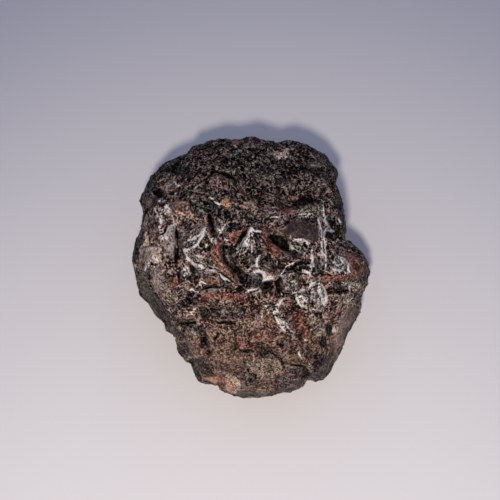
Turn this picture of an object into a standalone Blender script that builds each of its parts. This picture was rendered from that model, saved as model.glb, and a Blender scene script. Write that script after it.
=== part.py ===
"""Prophecy stone: a dark iron-oxide nodule that grew as one piece, lying on a small flat spot.

Lengths are in millimetres until the finished points are turned into metres, and angles are in degrees.
The stone is drawn on the plane that a viewer sees it in: U runs to the viewer's right, V runs up, and W
comes out of the plane towards the viewer, who looks down at it from VIEW_ELEVATION above the horizon.
"""

import math

import bpy
import numpy as np

MM = 0.001

# Driving dimensions
VIEW_ELEVATION = 65.0
VIEW_DISTANCE = 300.0
REST_HEIGHT = 18.0
CENTRE_ACROSS = 0.0
CENTRE_DEEP = -0.6
FRONT_DEPTH = 17.5
BACK_DEPTH = 20.0
SEEN_ROUNDNESS = 2.5
UNDERSIDE_SIZE = (26.0, 28.0, 18.6)
UNDERSIDE_ROUNDNESS = 2.5
EDGE_SHARPNESS = 26.0
FLAT_SPOT_RADIUS = 9.5
FLAT_SPOT_RIM = 4.0

# How far the jagged outline reaches in front of and behind its own plane, and the waves left past that
FRONT_REACH = 16.0
BACK_REACH = 11.0
SMOOTH_WAVES = 6

# Mesh: a ball of 20,480 triangles, the share that is kept, and the height that counts as resting
SPHERE_SUBDIVISIONS = 6
KEPT_TRIANGLES = 0.42
RESTING_HEIGHT = 0.06

# The outline that the viewer sees, as (U, V), clockwise from the left
OUTLINE = (
    (-23.2, 1.6), (-22.8, 4.3), (-21.2, 7.5), (-20.9, 10.5), (-21.6, 13.5), (-20.7, 15.4), (-20.2, 17.2),
    (-19.6, 18.2), (-18.0, 19.3), (-16.5, 20.8), (-14.8, 21.7), (-13.0, 22.1), (-11.9, 22.8), (-11.3, 24.2),
    (-9.3, 25.2), (-6.2, 25.7), (-3.8, 25.3), (-1.9, 25.4), (-0.6, 26.0), (1.4, 26.0), (3.5, 25.2),
    (5.0, 24.7), (6.5, 25.3), (8.1, 25.8), (10.6, 25.2), (13.6, 23.1), (14.8, 22.9), (15.9, 21.3),
    (17.4, 19.0), (17.2, 16.8), (18.2, 13.0), (18.8, 9.8), (18.4, 6.3), (18.3, 5.3), (20.2, 4.2),
    (22.3, 2.4), (23.4, 0.6), (23.6, -1.2), (23.3, -3.4), (22.0, -5.9), (21.9, -7.0), (22.2, -8.1),
    (21.4, -10.7), (19.6, -13.6), (18.2, -17.2), (16.6, -20.8), (14.8, -22.5), (13.4, -22.8),
    (11.7, -22.1), (10.5, -22.4), (9.9, -23.6), (8.2, -24.6), (5.5, -24.8), (2.8, -25.6), (0.4, -25.9),
    (-1.5, -26.1), (-3.8, -25.3), (-5.7, -24.4), (-6.3, -23.4), (-9.9, -22.8), (-10.9, -21.6),
    (-11.6, -19.3), (-13.8, -17.8), (-14.5, -16.2), (-14.7, -14.0), (-15.4, -13.2), (-16.9, -12.6),
    (-17.0, -11.0), (-18.9, -8.9), (-19.9, -7.3), (-21.9, -5.4), (-22.6, -2.5), (-22.8, -0.6),
)

# Broad natural faces, as (U, V, W of the outward direction) and distance from the middle of the body
BROAD_FACES = (
    ((0.86, -0.37, 0.34), 22.6),
    ((-0.78, -0.52, 0.34), 20.6),
    ((-0.50, 0.68, 0.54), 24.2),
    ((0.62, 0.60, 0.50), 23.6),
    ((-0.50, -0.68, 0.54), 22.8),
    ((0.05, 0.62, 0.78), 22.2),
    ((0.10, -0.55, 0.83), 21.8),
)

# Deep places: points of the line that each follows, half its width, and how deep it goes
HOLLOWS = (
    (((-12.5, 9.3), (-8.8, 10.4)), 2.2, 1.5),
    (((7.4, 13.2), (12.2, 14.2)), 2.0, 2.0),
    (((4.4, 6.0), (9.0, 3.2)), 1.3, 2.2),
    (((-1.8, 6.2), (-3.2, 2.8)), 1.4, 1.4),
    (((16.6, 9.0), (16.7, 6.2)), 1.6, 1.9),
    (((-18.4, 15.2), (-18.0, 14.4)), 1.1, 1.3),
    (((5.7, -2.8), (5.8, -5.4)), 0.9, 1.5),
    (((2.9, -3.7), (4.2, -3.6)), 1.0, 1.4),
    (((-13.4, -15.9), (-12.7, -16.9)), 1.3, 1.6),
    (((-9.5, -13.4), (-9.2, -15.6), (-8.2, -17.0)), 1.0, 1.2),
    (((11.3, -20.6), (11.7, -22.6)), 1.0, 1.4),
    (((-5.1, 3.4), (-3.4, 0.2), (-1.8, -2.2)), 1.1, 1.5),
    (((-8.0, 10.0), (-7.4, 7.6), (-7.0, 6.2)), 0.8, 1.0),
    (((15.0, -5.0), (18.4, -4.8), (19.9, -4.0)), 0.8, 1.2),
    (((-14.6, 6.6), (-14.2, 2.4)), 0.9, 1.2),
    (((-11.4, 0.2), (-10.4, -1.8)), 0.8, 1.1),
    (((3.6, 1.8), (4.6, -0.4)), 1.0, 1.1),
)

# Crystal blades and ledges: points of the crest, half the width of the foot, and how far it stands out
BLADES = (
    (((-15.5, 13.8), (-12.0, 14.9), (-8.0, 14.4), (-4.0, 12.6), (0.0, 11.8), (3.0, 10.8), (5.5, 9.9)), 2.4, 1.1),
    (((5.5, 10.0), (8.0, 11.0), (12.0, 11.9), (14.5, 12.0)), 1.6, 1.2),
    (((-13.0, 3.2), (-12.2, 1.6), (-9.6, 0.0), (-6.0, -1.7), (-3.0, -3.0)), 2.2, 1.7),
    (((-13.0, 3.4), (-10.4, 4.6), (-8.8, 7.6)), 1.6, 1.3),
    (((-6.8, 5.4), (-6.4, 1.0), (-4.2, -1.0), (-2.3, -2.6)), 1.6, 1.6),
    (((0.6, 7.8), (-1.2, 4.6), (-3.0, 2.2)), 2.4, 2.2),
    (((0.6, 7.8), (1.0, 3.5), (1.6, 0.5)), 2.2, 2.2),
    (((0.8, 7.8), (2.6, 4.0), (4.6, -1.1)), 2.0, 1.9),
    (((2.8, 7.6), (4.6, 3.4), (6.6, 1.8), (9.6, 1.4)), 1.5, 1.3),
    (((13.9, 10.0), (14.3, 5.0), (14.5, 0.0)), 0.9, 0.9),
    (((15.2, 10.0), (15.1, 4.0), (15.3, -0.8)), 0.9, 0.9),
    (((17.5, 10.0), (18.0, 7.5), (17.2, 5.0)), 1.0, 0.9),
    (((12.5, -2.3), (17.0, -1.9), (20.5, -0.9), (23.0, 0.4)), 2.8, 1.5),
    (((-10.2, -6.6), (-8.0, -5.5), (-4.0, -5.4), (0.0, -6.4), (4.5, -6.2)), 1.7, 1.0),
    (((4.4, -7.8), (6.0, -11.5), (7.6, -14.0)), 1.9, 1.6),
    (((4.6, -7.8), (8.2, -13.0), (12.2, -20.6)), 2.0, 1.6),
    (((4.4, -7.8), (2.4, -8.0), (2.1, -10.4)), 1.0, 0.9),
    (((0.8, -14.5), (3.8, -14.7), (6.2, -14.0)), 1.3, 0.9),
    (((-16.6, -10.6), (-11.0, -10.5)), 1.4, 0.9),
    (((-20.6, -0.8), (-19.2, 2.0), (-17.6, 0.6)), 1.2, 0.9),
    (((-18.2, 13.6), (-18.8, 10.8), (-18.0, 7.6), (-17.6, 4.0)), 1.1, 0.9),
)

# Flat slabs: corners, and how far the top stands out
SLABS = (
    (((6.2, 7.3), (8.2, 9.2), (10.2, 9.9), (13.7, 9.6), (13.8, 5.2), (13.0, 3.4), (7.6, 5.6)), 1.0),
    (((-17.3, 5.6), (-16.6, 8.0), (-15.1, 8.2), (-15.0, 1.0), (-17.2, 1.2)), 1.1),
    (((6.2, -2.2), (8.4, -0.4), (9.6, -1.6), (9.4, -4.3), (6.5, -4.6)), 0.8),
)

# Round lumps: middle, half width, half height, and how far each stands out
LUMPS = (
    ((-5.7, 16.3), 2.4, 2.0, 1.0),
    ((-4.6, 13.0), 1.4, 1.2, 0.6),
    ((-14.0, 11.8), 2.1, 1.7, 1.0),
    ((-20.0, 13.2), 1.5, 2.0, 0.8),
    ((0.9, -2.7), 1.8, 1.6, 1.2),
    ((10.7, -6.3), 2.0, 2.1, 1.0),
    ((13.5, -5.3), 1.7, 2.5, 1.0),
    ((7.6, -23.0), 3.0, 2.0, 0.8),
    ((14.0, -20.8), 2.4, 2.4, 0.9),
    ((-9.3, -20.0), 2.4, 1.8, 0.9),
    ((-15.2, -12.2), 1.6, 1.1, 0.8),
    ((-12.8, -8.8), 2.8, 1.8, 0.9),
    ((-2.4, -23.2), 3.8, 2.2, 0.9),
    ((-12.6, -13.3), 1.8, 1.4, 0.7),
)

# Crystal stars on the sides and back: azimuth, elevation, radius, arms, and how far each stands out
STARS = (
    (60.0, 5.0, 9.0, 5, 1.4),
    (118.0, 24.0, 8.0, 6, 1.3),
    (172.0, 8.0, 10.0, 5, 1.5),
    (228.0, -6.0, 8.0, 6, 1.2),
    (300.0, -14.0, 9.0, 5, 1.3),
    (20.0, -22.0, 8.0, 5, 1.2),
    (90.0, -24.0, 9.0, 6, 1.2),
    (200.0, -30.0, 8.0, 5, 1.1),
)
STAR_ARM_SPREAD = 0.34

# Druse of blocky crystals all round: spacing of the crystals, and how far they stand out
DRUSES = (
    (8.5, 3.6, 21),
    (3.4, 1.2, 41),
)
BLADE_SHAPE = (0.55, 1.0, 1.25)
BLADE_JITTER = 0.42
DRUSE_LEVEL = 0.45
FRONT_DRUSE_SHARE = 0.22

# Softness of the seen side's features: how far out of line they wander, and where each one's slope starts
SWAY = 0.35
SWAY_SPACING = 2.2
HOLLOW_FLOOR = 0.3
HOLLOW_RIM = 1.5
SLAB_EDGE = 0.4
ARM_TIP_WIDTH = 0.8

# The seen side's features fade in between these facings, and the hidden side's druse out of view
FEATURES_START = 0.10
FEATURES_FULL = 0.45

STONE_COLOUR = (0.030, 0.018, 0.015, 1.0)
STONE_ROUGHNESS = 0.45


def view_axes():
    """The directions of U, V and W in the part's own frame, one to a row."""
    raised = math.radians(VIEW_ELEVATION)
    across = (1.0, 0.0, 0.0)
    up = (0.0, math.sin(raised), math.cos(raised))
    towards = (0.0, -math.cos(raised), math.sin(raised))
    return np.array((across, up, towards))


VIEW_AXES = view_axes()


def eased(value, low, high):
    """0 below low, 1 above high, and a smooth S between them."""
    share = np.clip((value - low) / (high - low), 0.0, 1.0)
    return share * share * (3.0 - 2.0 * share)


def lattice_value(cell, seed):
    """A repeatable number from -1 to 1 for each cell of a lattice."""
    mixed = cell @ np.array((73856093, 19349663, 83492791)) + seed * 1013904223
    mixed = (mixed ^ (mixed >> 15)) * 668265263 & 0xFFFFFFFF
    mixed = (mixed ^ (mixed >> 13)) * 374761393 & 0xFFFFFFFF
    return ((mixed ^ (mixed >> 16)) & 0xFFFF) / 32767.5 - 1.0


def soft_noise(points, spacing, seed):
    """Smooth noise: random values on a lattice, eased between the eight corners round each point."""
    scaled = points / spacing
    cell = np.floor(scaled).astype(np.int64)
    share = scaled - cell
    share = share * share * (3.0 - 2.0 * share)
    total = np.zeros(len(points))
    for corner in np.ndindex(2, 2, 2):
        weight = np.prod(np.where(corner, share, 1.0 - share), axis=1)
        total += weight * lattice_value(cell + np.array(corner), seed)
    return total


def crystal_noise(points, spacing, seed):
    """A druse of blocky blades: the nearest scattered box decides the height, 1 at its core, less outwards.

    Each cell of a lattice holds one box, jittered, turned at random and flattened along one side.
    """
    scaled = points / spacing
    cell = np.floor(scaled).astype(np.int64)
    nearest = np.full(len(points), 9.0)
    for step in np.ndindex(3, 3, 3):
        home = cell + np.array(step) - 1
        random = np.stack([lattice_value(home, seed + k) for k in range(9)], axis=1)
        apart = scaled - home - 0.5 - BLADE_JITTER * random[:, 0:3]
        first = random[:, 3:6] + 0.01
        first /= np.linalg.norm(first, axis=1)[:, None]
        second = np.cross(first, random[:, 6:9] + 0.02)
        second /= np.linalg.norm(second, axis=1)[:, None]
        third = np.cross(first, second)
        sides = [np.abs(np.sum(apart * axis, axis=1)) for axis in (first, second, third)]
        box = np.maximum(np.maximum(sides[0] / BLADE_SHAPE[0], sides[1] / BLADE_SHAPE[1]), sides[2] / BLADE_SHAPE[2])
        nearest = np.minimum(nearest, box)
    return 1.0 - nearest


def outline_radius(angle, smooth):
    """The outline's distance from the middle at an angle, jagged, or smoothed to its first few waves."""
    points = np.array(OUTLINE)
    turns = np.arctan2(points[:, 1], points[:, 0])
    order = np.argsort(turns)
    reach = np.hypot(points[:, 0], points[:, 1])
    if not smooth:
        return np.interp(angle, turns[order], reach[order], period=2.0 * math.pi)
    steps = np.linspace(-math.pi, math.pi, 360, endpoint=False)
    waves = np.fft.rfft(np.interp(steps, turns[order], reach[order], period=2.0 * math.pi))
    waves[SMOOTH_WAVES:] = 0.0
    return np.interp(angle, steps, np.fft.irfft(waves, 360), period=2.0 * math.pi)


def body_radius(directions):
    """Distance from the middle to the smooth body along each direction.

    It is the rounded overlap of three shapes: a cushion with the seen outline, a flatter cushion
    that the stone rests on, and the half-spaces of the broad faces.
    """
    seen = directions @ VIEW_AXES.T
    angle = np.arctan2(seen[:, 1], seen[:, 0])
    slant = np.hypot(seen[:, 0], seen[:, 1])
    depth = np.where(seen[:, 2] > 0.0, FRONT_DEPTH, BACK_DEPTH)
    jagged = outline_radius(angle, False)
    smooth = outline_radius(angle, True)
    off_plane = jagged * seen[:, 2] / np.maximum(slant, 0.05)
    fading = off_plane / np.where(seen[:, 2] > 0.0, FRONT_REACH, BACK_REACH)
    reach = smooth + (jagged - smooth) * np.exp(-fading * fading)
    cushion = (slant / reach) ** SEEN_ROUNDNESS + (np.abs(seen[:, 2]) / depth) ** SEEN_ROUNDNESS
    inverse = cushion ** (EDGE_SHARPNESS / SEEN_ROUNDNESS)
    rest = np.sum((np.abs(directions) / np.array(UNDERSIDE_SIZE)) ** UNDERSIDE_ROUNDNESS, axis=1)
    inverse += rest ** (EDGE_SHARPNESS / UNDERSIDE_ROUNDNESS)
    for outward, distance in BROAD_FACES:
        unit = np.array(outward) / np.linalg.norm(outward)
        facing = np.maximum(seen @ unit, 0.0)
        inverse += (facing / distance) ** EDGE_SHARPNESS
    return inverse ** (-1.0 / EDGE_SHARPNESS)


def body_normals(directions):
    """Outward normals of the smooth body, from the slope of its radius across each direction."""
    step = 0.02
    helper = np.where(np.abs(directions[:, 2:]) < 0.8, (0.0, 0.0, 1.0), (1.0, 0.0, 0.0))
    first = np.cross(helper, directions)
    first /= np.linalg.norm(first, axis=1)[:, None]
    second = np.cross(directions, first)
    edges = []
    for tangent in (first, second):
        ends = []
        for sign in (1.0, -1.0):
            near = directions + sign * step * tangent
            near /= np.linalg.norm(near, axis=1)[:, None]
            ends.append(near * body_radius(near)[:, None])
        edges.append(ends[0] - ends[1])
    normals = np.cross(edges[0], edges[1])
    return normals / np.linalg.norm(normals, axis=1)[:, None]


def line_distance(plane, points):
    """Distance from each place on the plane to a line of straight pieces."""
    nearest = np.full(len(plane), 1e9)
    for start, end in zip(np.array(points[:-1]), np.array(points[1:])):
        along = end - start
        share = np.clip((plane - start) @ along / (along @ along), 0.0, 1.0)
        apart = np.linalg.norm(plane - start - share[:, None] * along, axis=1)
        nearest = np.minimum(nearest, apart)
    return nearest


def inside_depth(plane, corners):
    """How far each place lies inside a convex outline, negative outside it."""
    corners = np.array(corners)
    middle = corners.mean(axis=0)
    depth = np.full(len(plane), 1e9)
    for start, end in zip(corners, np.roll(corners, -1, axis=0)):
        inward = np.array((start[1] - end[1], end[0] - start[0]))
        inward /= np.linalg.norm(inward)
        if (middle - start) @ inward < 0.0:
            inward = -inward
        depth = np.minimum(depth, (plane - start) @ inward)
    return depth


def front_relief(plane):
    """How far the seen face stands out at each place on the viewer's plane."""
    relief = np.zeros(len(plane))
    for points, half_width, depth in HOLLOWS:
        apart = line_distance(plane, points) / half_width
        relief -= depth * (1.0 - eased(apart, HOLLOW_FLOOR, HOLLOW_RIM))
    for middle, wide, high, height in LUMPS:
        apart = np.hypot((plane[:, 0] - middle[0]) / wide, (plane[:, 1] - middle[1]) / high)
        relief += height * np.sqrt(np.clip(1.0 - apart * apart, 0.0, 1.0))
    for corners, height in SLABS:
        relief += height * eased(inside_depth(plane, corners), -SLAB_EDGE, SLAB_EDGE)
    blades = np.zeros(len(plane))
    for points, half_width, height in BLADES:
        blades = np.maximum(blades, height * (1.0 - line_distance(plane, points) / half_width))
    return relief + blades


def star_relief(points, directions):
    """Raised stars of crystal blades: each arm is a roof that widens outwards and sinks to the star's rim."""
    relief = np.zeros(len(points))
    for azimuth, elevation, radius, arms, height in STARS:
        turn = math.radians(azimuth)
        raised = math.radians(elevation)
        out = np.array((math.cos(raised) * math.cos(turn), math.cos(raised) * math.sin(turn), math.sin(raised)))
        side = np.cross((0.0, 0.0, 1.0), out)
        side /= np.linalg.norm(side)
        rise = np.cross(out, side)
        place = out * body_radius(out[None, :])[0]
        across = (points - place) @ side
        upward = (points - place) @ rise
        apart = np.hypot(across, upward)
        angle = np.arctan2(upward, across)
        for arm in range(arms):
            off = np.abs((angle - 2.0 * math.pi * arm / arms - turn + math.pi) % (2.0 * math.pi) - math.pi)
            beside = apart * np.sin(np.minimum(off, 0.5 * math.pi)) / (STAR_ARM_SPREAD * apart + ARM_TIP_WIDTH)
            roof = height * np.maximum(1.0 - beside, 0.0) * np.maximum(1.0 - apart / radius, 0.0)
            relief = np.maximum(relief, np.where(directions @ out > 0.3, roof, 0.0))
    return relief


def stone_points(directions):
    """The stone's surface in millimetres, in the part's own frame, for directions from its middle."""
    body = directions * body_radius(directions)[:, None]
    normals = body_normals(directions)
    seen = body @ VIEW_AXES.T
    shrink = VIEW_DISTANCE / (VIEW_DISTANCE - seen[:, 2])
    to_viewer = VIEW_AXES[2] * VIEW_DISTANCE - body
    to_viewer /= np.linalg.norm(to_viewer, axis=1)[:, None]
    facing = np.sum(normals * to_viewer, axis=1)
    front = eased(facing, FEATURES_START, FEATURES_FULL)
    hidden = eased(-facing, 0.0, FEATURES_FULL)
    from_axis = np.hypot(body[:, 0], body[:, 1])
    bottom = 1.0 - eased(from_axis, FLAT_SPOT_RADIUS, FLAT_SPOT_RADIUS + FLAT_SPOT_RIM)
    bottom *= directions[:, 2] < 0.0
    plane = seen[:, :2] * shrink[:, None]
    sway = [SWAY * soft_noise(body, SWAY_SPACING, seed) for seed in (11, 12)]
    shown = front_relief(plane + np.stack(sway, axis=1))
    druse = sum(height * (crystal_noise(body, spacing, seed) - DRUSE_LEVEL) for spacing, height, seed in DRUSES)
    around = star_relief(body, directions) * hidden + druse * (FRONT_DRUSE_SHARE + (1.0 - FRONT_DRUSE_SHARE) * hidden)
    points = body + to_viewer * (front * shown)[:, None]
    points += normals * ((1.0 - bottom) * around)[:, None]
    points += (CENTRE_ACROSS, CENTRE_DEEP, REST_HEIGHT)
    points[:, 2] = np.maximum(points[:, 2], 0.0)
    return points


def stone_material():
    """Dark satin iron oxide."""
    material = bpy.data.materials.new("dark_iron_oxide")
    material.use_nodes = True
    shader = material.node_tree.nodes["Principled BSDF"]
    shader.inputs["Base Color"].default_value = STONE_COLOUR
    shader.inputs["Roughness"].default_value = STONE_ROUGHNESS
    shader.inputs["Metallic"].default_value = 0.0
    return material


def level_flat_spot(mesh):
    """Puts every vertex that rests, or nearly rests, exactly on the ground."""
    places = np.empty(3 * len(mesh.vertices), np.float32)
    mesh.vertices.foreach_get("co", places)
    places = places.reshape(-1, 3)
    places[places[:, 2] < RESTING_HEIGHT * MM, 2] = 0.0
    mesh.vertices.foreach_set("co", places.ravel())
    mesh.update()


def make_stone(collection):
    """A fine ball whose vertices are moved onto the stone's surface, then thinned where it is plain."""
    bpy.ops.mesh.primitive_ico_sphere_add(subdivisions=SPHERE_SUBDIVISIONS, radius=1.0)
    stone = bpy.context.object
    stone.name = "prophecy_stone"
    stone.data.name = "prophecy_stone"
    for owner in stone.users_collection:
        owner.objects.unlink(stone)
    collection.objects.link(stone)
    mesh = stone.data
    directions = np.empty(3 * len(mesh.vertices), np.float32)
    mesh.vertices.foreach_get("co", directions)
    directions = directions.reshape(-1, 3).astype(np.float64)
    directions /= np.linalg.norm(directions, axis=1)[:, None]
    mesh.vertices.foreach_set("co", (stone_points(directions) * MM).ravel())
    mesh.update()
    thin = stone.modifiers.new("thin_plain_places", "DECIMATE")
    thin.ratio = KEPT_TRIANGLES
    thinned = bpy.data.meshes.new_from_object(stone.evaluated_get(bpy.context.evaluated_depsgraph_get()))
    stone.modifiers.remove(thin)
    stone.data = thinned
    bpy.data.meshes.remove(mesh)
    level_flat_spot(thinned)
    thinned.name = "prophecy_stone"
    thinned.materials.append(stone_material())
    return stone


def main():
    for old in list(bpy.data.objects):
        bpy.data.objects.remove(old, do_unlink=True)
    collection = bpy.data.collections.new("prophecy_stone_parts")
    bpy.context.scene.collection.children.link(collection)
    make_stone(collection)


main()
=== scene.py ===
"""A prophecy stone on a pale floor: one dark iron-oxide nodule, seen from the front and above.

Lengths in the lists below are millimetres, turned into metres when the mesh is filled. The stone is drawn
on the plane that the viewer sees it in: U runs to the viewer's right, V up, and W out of the plane towards
the viewer, all from the middle of the body.
"""

import math

import bpy
import numpy as np
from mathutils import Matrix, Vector


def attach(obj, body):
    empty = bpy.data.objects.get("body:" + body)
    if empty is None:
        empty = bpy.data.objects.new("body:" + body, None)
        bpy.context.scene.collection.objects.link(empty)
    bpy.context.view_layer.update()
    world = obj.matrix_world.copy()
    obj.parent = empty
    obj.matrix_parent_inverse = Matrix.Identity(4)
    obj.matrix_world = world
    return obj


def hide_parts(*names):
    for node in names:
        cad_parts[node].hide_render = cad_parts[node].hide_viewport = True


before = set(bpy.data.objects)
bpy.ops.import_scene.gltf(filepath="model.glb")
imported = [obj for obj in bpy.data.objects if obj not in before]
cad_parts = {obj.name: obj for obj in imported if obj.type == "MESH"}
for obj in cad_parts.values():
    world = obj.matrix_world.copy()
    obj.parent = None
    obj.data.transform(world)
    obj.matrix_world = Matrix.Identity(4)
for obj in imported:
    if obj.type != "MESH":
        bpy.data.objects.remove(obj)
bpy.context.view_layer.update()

MM = 0.001

# The body, as the CAD has it
VIEW_ELEVATION = 65.0
VIEW_DISTANCE = 300.0
BODY_MIDDLE = (0.0, -0.6, 18.0)
FRONT_DEPTH = 17.5
BACK_DEPTH = 20.0
SEEN_ROUNDNESS = 2.5
UNDERSIDE_SIZE = (26.0, 28.0, 18.6)
UNDERSIDE_ROUNDNESS = 2.5
EDGE_SHARPNESS = 26.0
FLAT_SPOT_RADIUS = 9.5
FLAT_SPOT_EDGE = 4.0
FRONT_REACH = 16.0
BACK_REACH = 11.0
SMOOTH_WAVES = 6

# Mesh: squares along each side of the six grids, and how much closer they lie on the seen side
GRID_SQUARES = 128
FRONT_CROWDING = 0.35

# The camera: its lens and sensor, and how far above the body's middle it aims, along V
LENS = 108.0
SENSOR_WIDTH = 36.0
AIM_UP = 3.4

# The key lamp, from the body's middle: azimuth, elevation, distance and aim, then its cone, radius, power
# and colour. At azimuth -90 it would stand straight in front
KEY_AZIMUTH = -94.0
KEY_ELEVATION = 58.0
KEY_DISTANCE = 400.0
KEY_AIM = (0.0, -75.0, -18.0)
KEY_CONE = 46.0
KEY_RADIUS = 12.0
KEY_POWER = 4.7
KEY_COLOUR = (1.0, 0.90, 0.79)

# The dim room: its colour, and its strength at the horizon and overhead
ROOM_COLOUR = (0.68, 0.72, 1.0, 1.0)
ROOM_STRENGTHS = (0.12, 0.42)

# The outline that the viewer sees, as (U, V), clockwise from the left
OUTLINE = (
    (-23.2, 1.6), (-22.8, 4.3), (-21.2, 7.5), (-20.9, 10.5), (-21.6, 13.5), (-20.7, 15.4), (-20.2, 17.2),
    (-19.6, 18.2), (-18.0, 19.3), (-16.5, 20.8), (-14.8, 21.7), (-13.0, 22.1), (-11.9, 22.8), (-11.3, 24.2),
    (-9.3, 25.2), (-6.2, 25.7), (-3.8, 25.3), (-1.9, 25.4), (-0.6, 26.0), (1.4, 26.0), (3.5, 25.2),
    (5.0, 24.7), (6.5, 25.3), (8.1, 25.8), (10.6, 25.2), (13.6, 23.1), (14.8, 22.9), (15.9, 21.3),
    (17.4, 19.0), (17.2, 16.8), (18.2, 13.0), (18.8, 9.8), (18.4, 6.3), (18.3, 5.3), (20.2, 4.2),
    (22.3, 2.4), (23.4, 0.6), (23.6, -1.2), (23.3, -3.4), (22.0, -5.9), (21.9, -7.0), (22.2, -8.1),
    (21.4, -10.7), (19.6, -13.6), (18.2, -17.2), (16.6, -20.8), (14.8, -22.5), (13.4, -22.8),
    (11.7, -22.1), (10.5, -22.4), (9.9, -23.6), (8.2, -24.6), (5.5, -24.8), (2.8, -25.6), (0.4, -25.9),
    (-1.5, -26.1), (-3.8, -25.3), (-5.7, -24.4), (-6.3, -23.4), (-9.9, -22.8), (-10.9, -21.6),
    (-11.6, -19.3), (-13.8, -17.8), (-14.5, -16.2), (-14.7, -14.0), (-15.4, -13.2), (-16.9, -12.6),
    (-17.0, -11.0), (-18.9, -8.9), (-19.9, -7.3), (-21.9, -5.4), (-22.6, -2.5), (-22.8, -0.6),
)

# Broad natural faces, as (U, V, W of the outward direction) and distance from the middle of the body
BROAD_FACES = (
    ((0.86, -0.37, 0.34), 22.6),
    ((-0.78, -0.52, 0.34), 20.6),
    ((-0.50, 0.68, 0.54), 24.2),
    ((0.62, 0.60, 0.50), 23.6),
    ((-0.50, -0.68, 0.54), 22.8),
    ((0.05, 0.62, 0.78), 22.2),
    ((0.10, -0.55, 0.83), 21.8),
)

# Deep places: points of the line that each follows, half its width, and how deep it goes
HOLLOWS = (
    (((-12.5, 9.3), (-8.8, 10.4)), 2.2, 1.5),
    (((7.4, 13.2), (12.2, 14.2)), 2.0, 2.0),
    (((4.4, 6.0), (9.0, 3.2)), 1.3, 2.4),
    (((-1.8, 6.2), (-3.2, 2.8)), 1.2, 1.6),
    (((16.6, 9.0), (16.7, 6.2)), 1.5, 2.2),
    (((-18.4, 15.2), (-18.0, 14.4)), 1.0, 1.6),
    (((5.7, -2.8), (5.8, -5.4)), 0.8, 1.9),
    (((2.9, -3.7), (4.2, -3.6)), 0.9, 1.7),
    (((-13.4, -15.9), (-12.7, -16.9)), 1.2, 2.0),
    (((-9.5, -13.4), (-9.2, -15.6), (-8.2, -17.0)), 0.9, 1.5),
    (((11.3, -20.6), (11.7, -22.6)), 0.9, 1.6),
    (((-5.1, 3.4), (-3.4, 0.2), (-1.8, -2.2)), 1.0, 1.8),
    (((-8.0, 10.0), (-7.4, 7.6), (-7.0, 6.2)), 0.7, 1.3),
    (((15.0, -5.0), (18.4, -4.8), (19.9, -4.0)), 0.7, 1.3),
    (((-14.6, 6.6), (-14.2, 2.4)), 0.8, 1.4),
    (((-11.6, 0.6), (-10.4, -1.8)), 0.6, 1.3),
    (((3.6, 1.8), (4.6, -0.4)), 0.8, 1.2),
    (((14.6, 15.2), (15.0, 14.4)), 0.8, 1.2),
    (((-6.9, -3.9), (-8.4, -4.3)), 0.6, 0.7),
    (((-8.2, -20.0), (-7.2, -19.8)), 0.9, 0.9),
    (((15.6, -12.2), (16.2, -14.0)), 0.8, 0.9),
    (((8.6, -14.2), (9.8, -13.9)), 0.9, 0.9),
    (((-20.2, -0.6), (-20.0, -3.0), (-18.4, -5.2)), 0.6, 0.9),
    (((10.7, 4.3), (11.0, 4.0)), 0.5, 0.8),
    (((-3.1, 18.0), (-2.5, 15.0)), 0.4, 0.6),
    (((-7.6, 18.5), (-4.6, 18.4), (-3.0, 17.0)), 0.5, 0.6),
    (((10.5, 19.7), (16.2, 19.3)), 0.5, 0.7),
    (((-16.0, -11.1), (-11.0, -11.1)), 0.5, 0.8),
    (((-9.6, -8.2), (-9.2, -10.2)), 0.6, 0.7),
    (((-19.4, 0.9), (-18.8, 0.6)), 0.5, 0.7),
)

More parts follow.
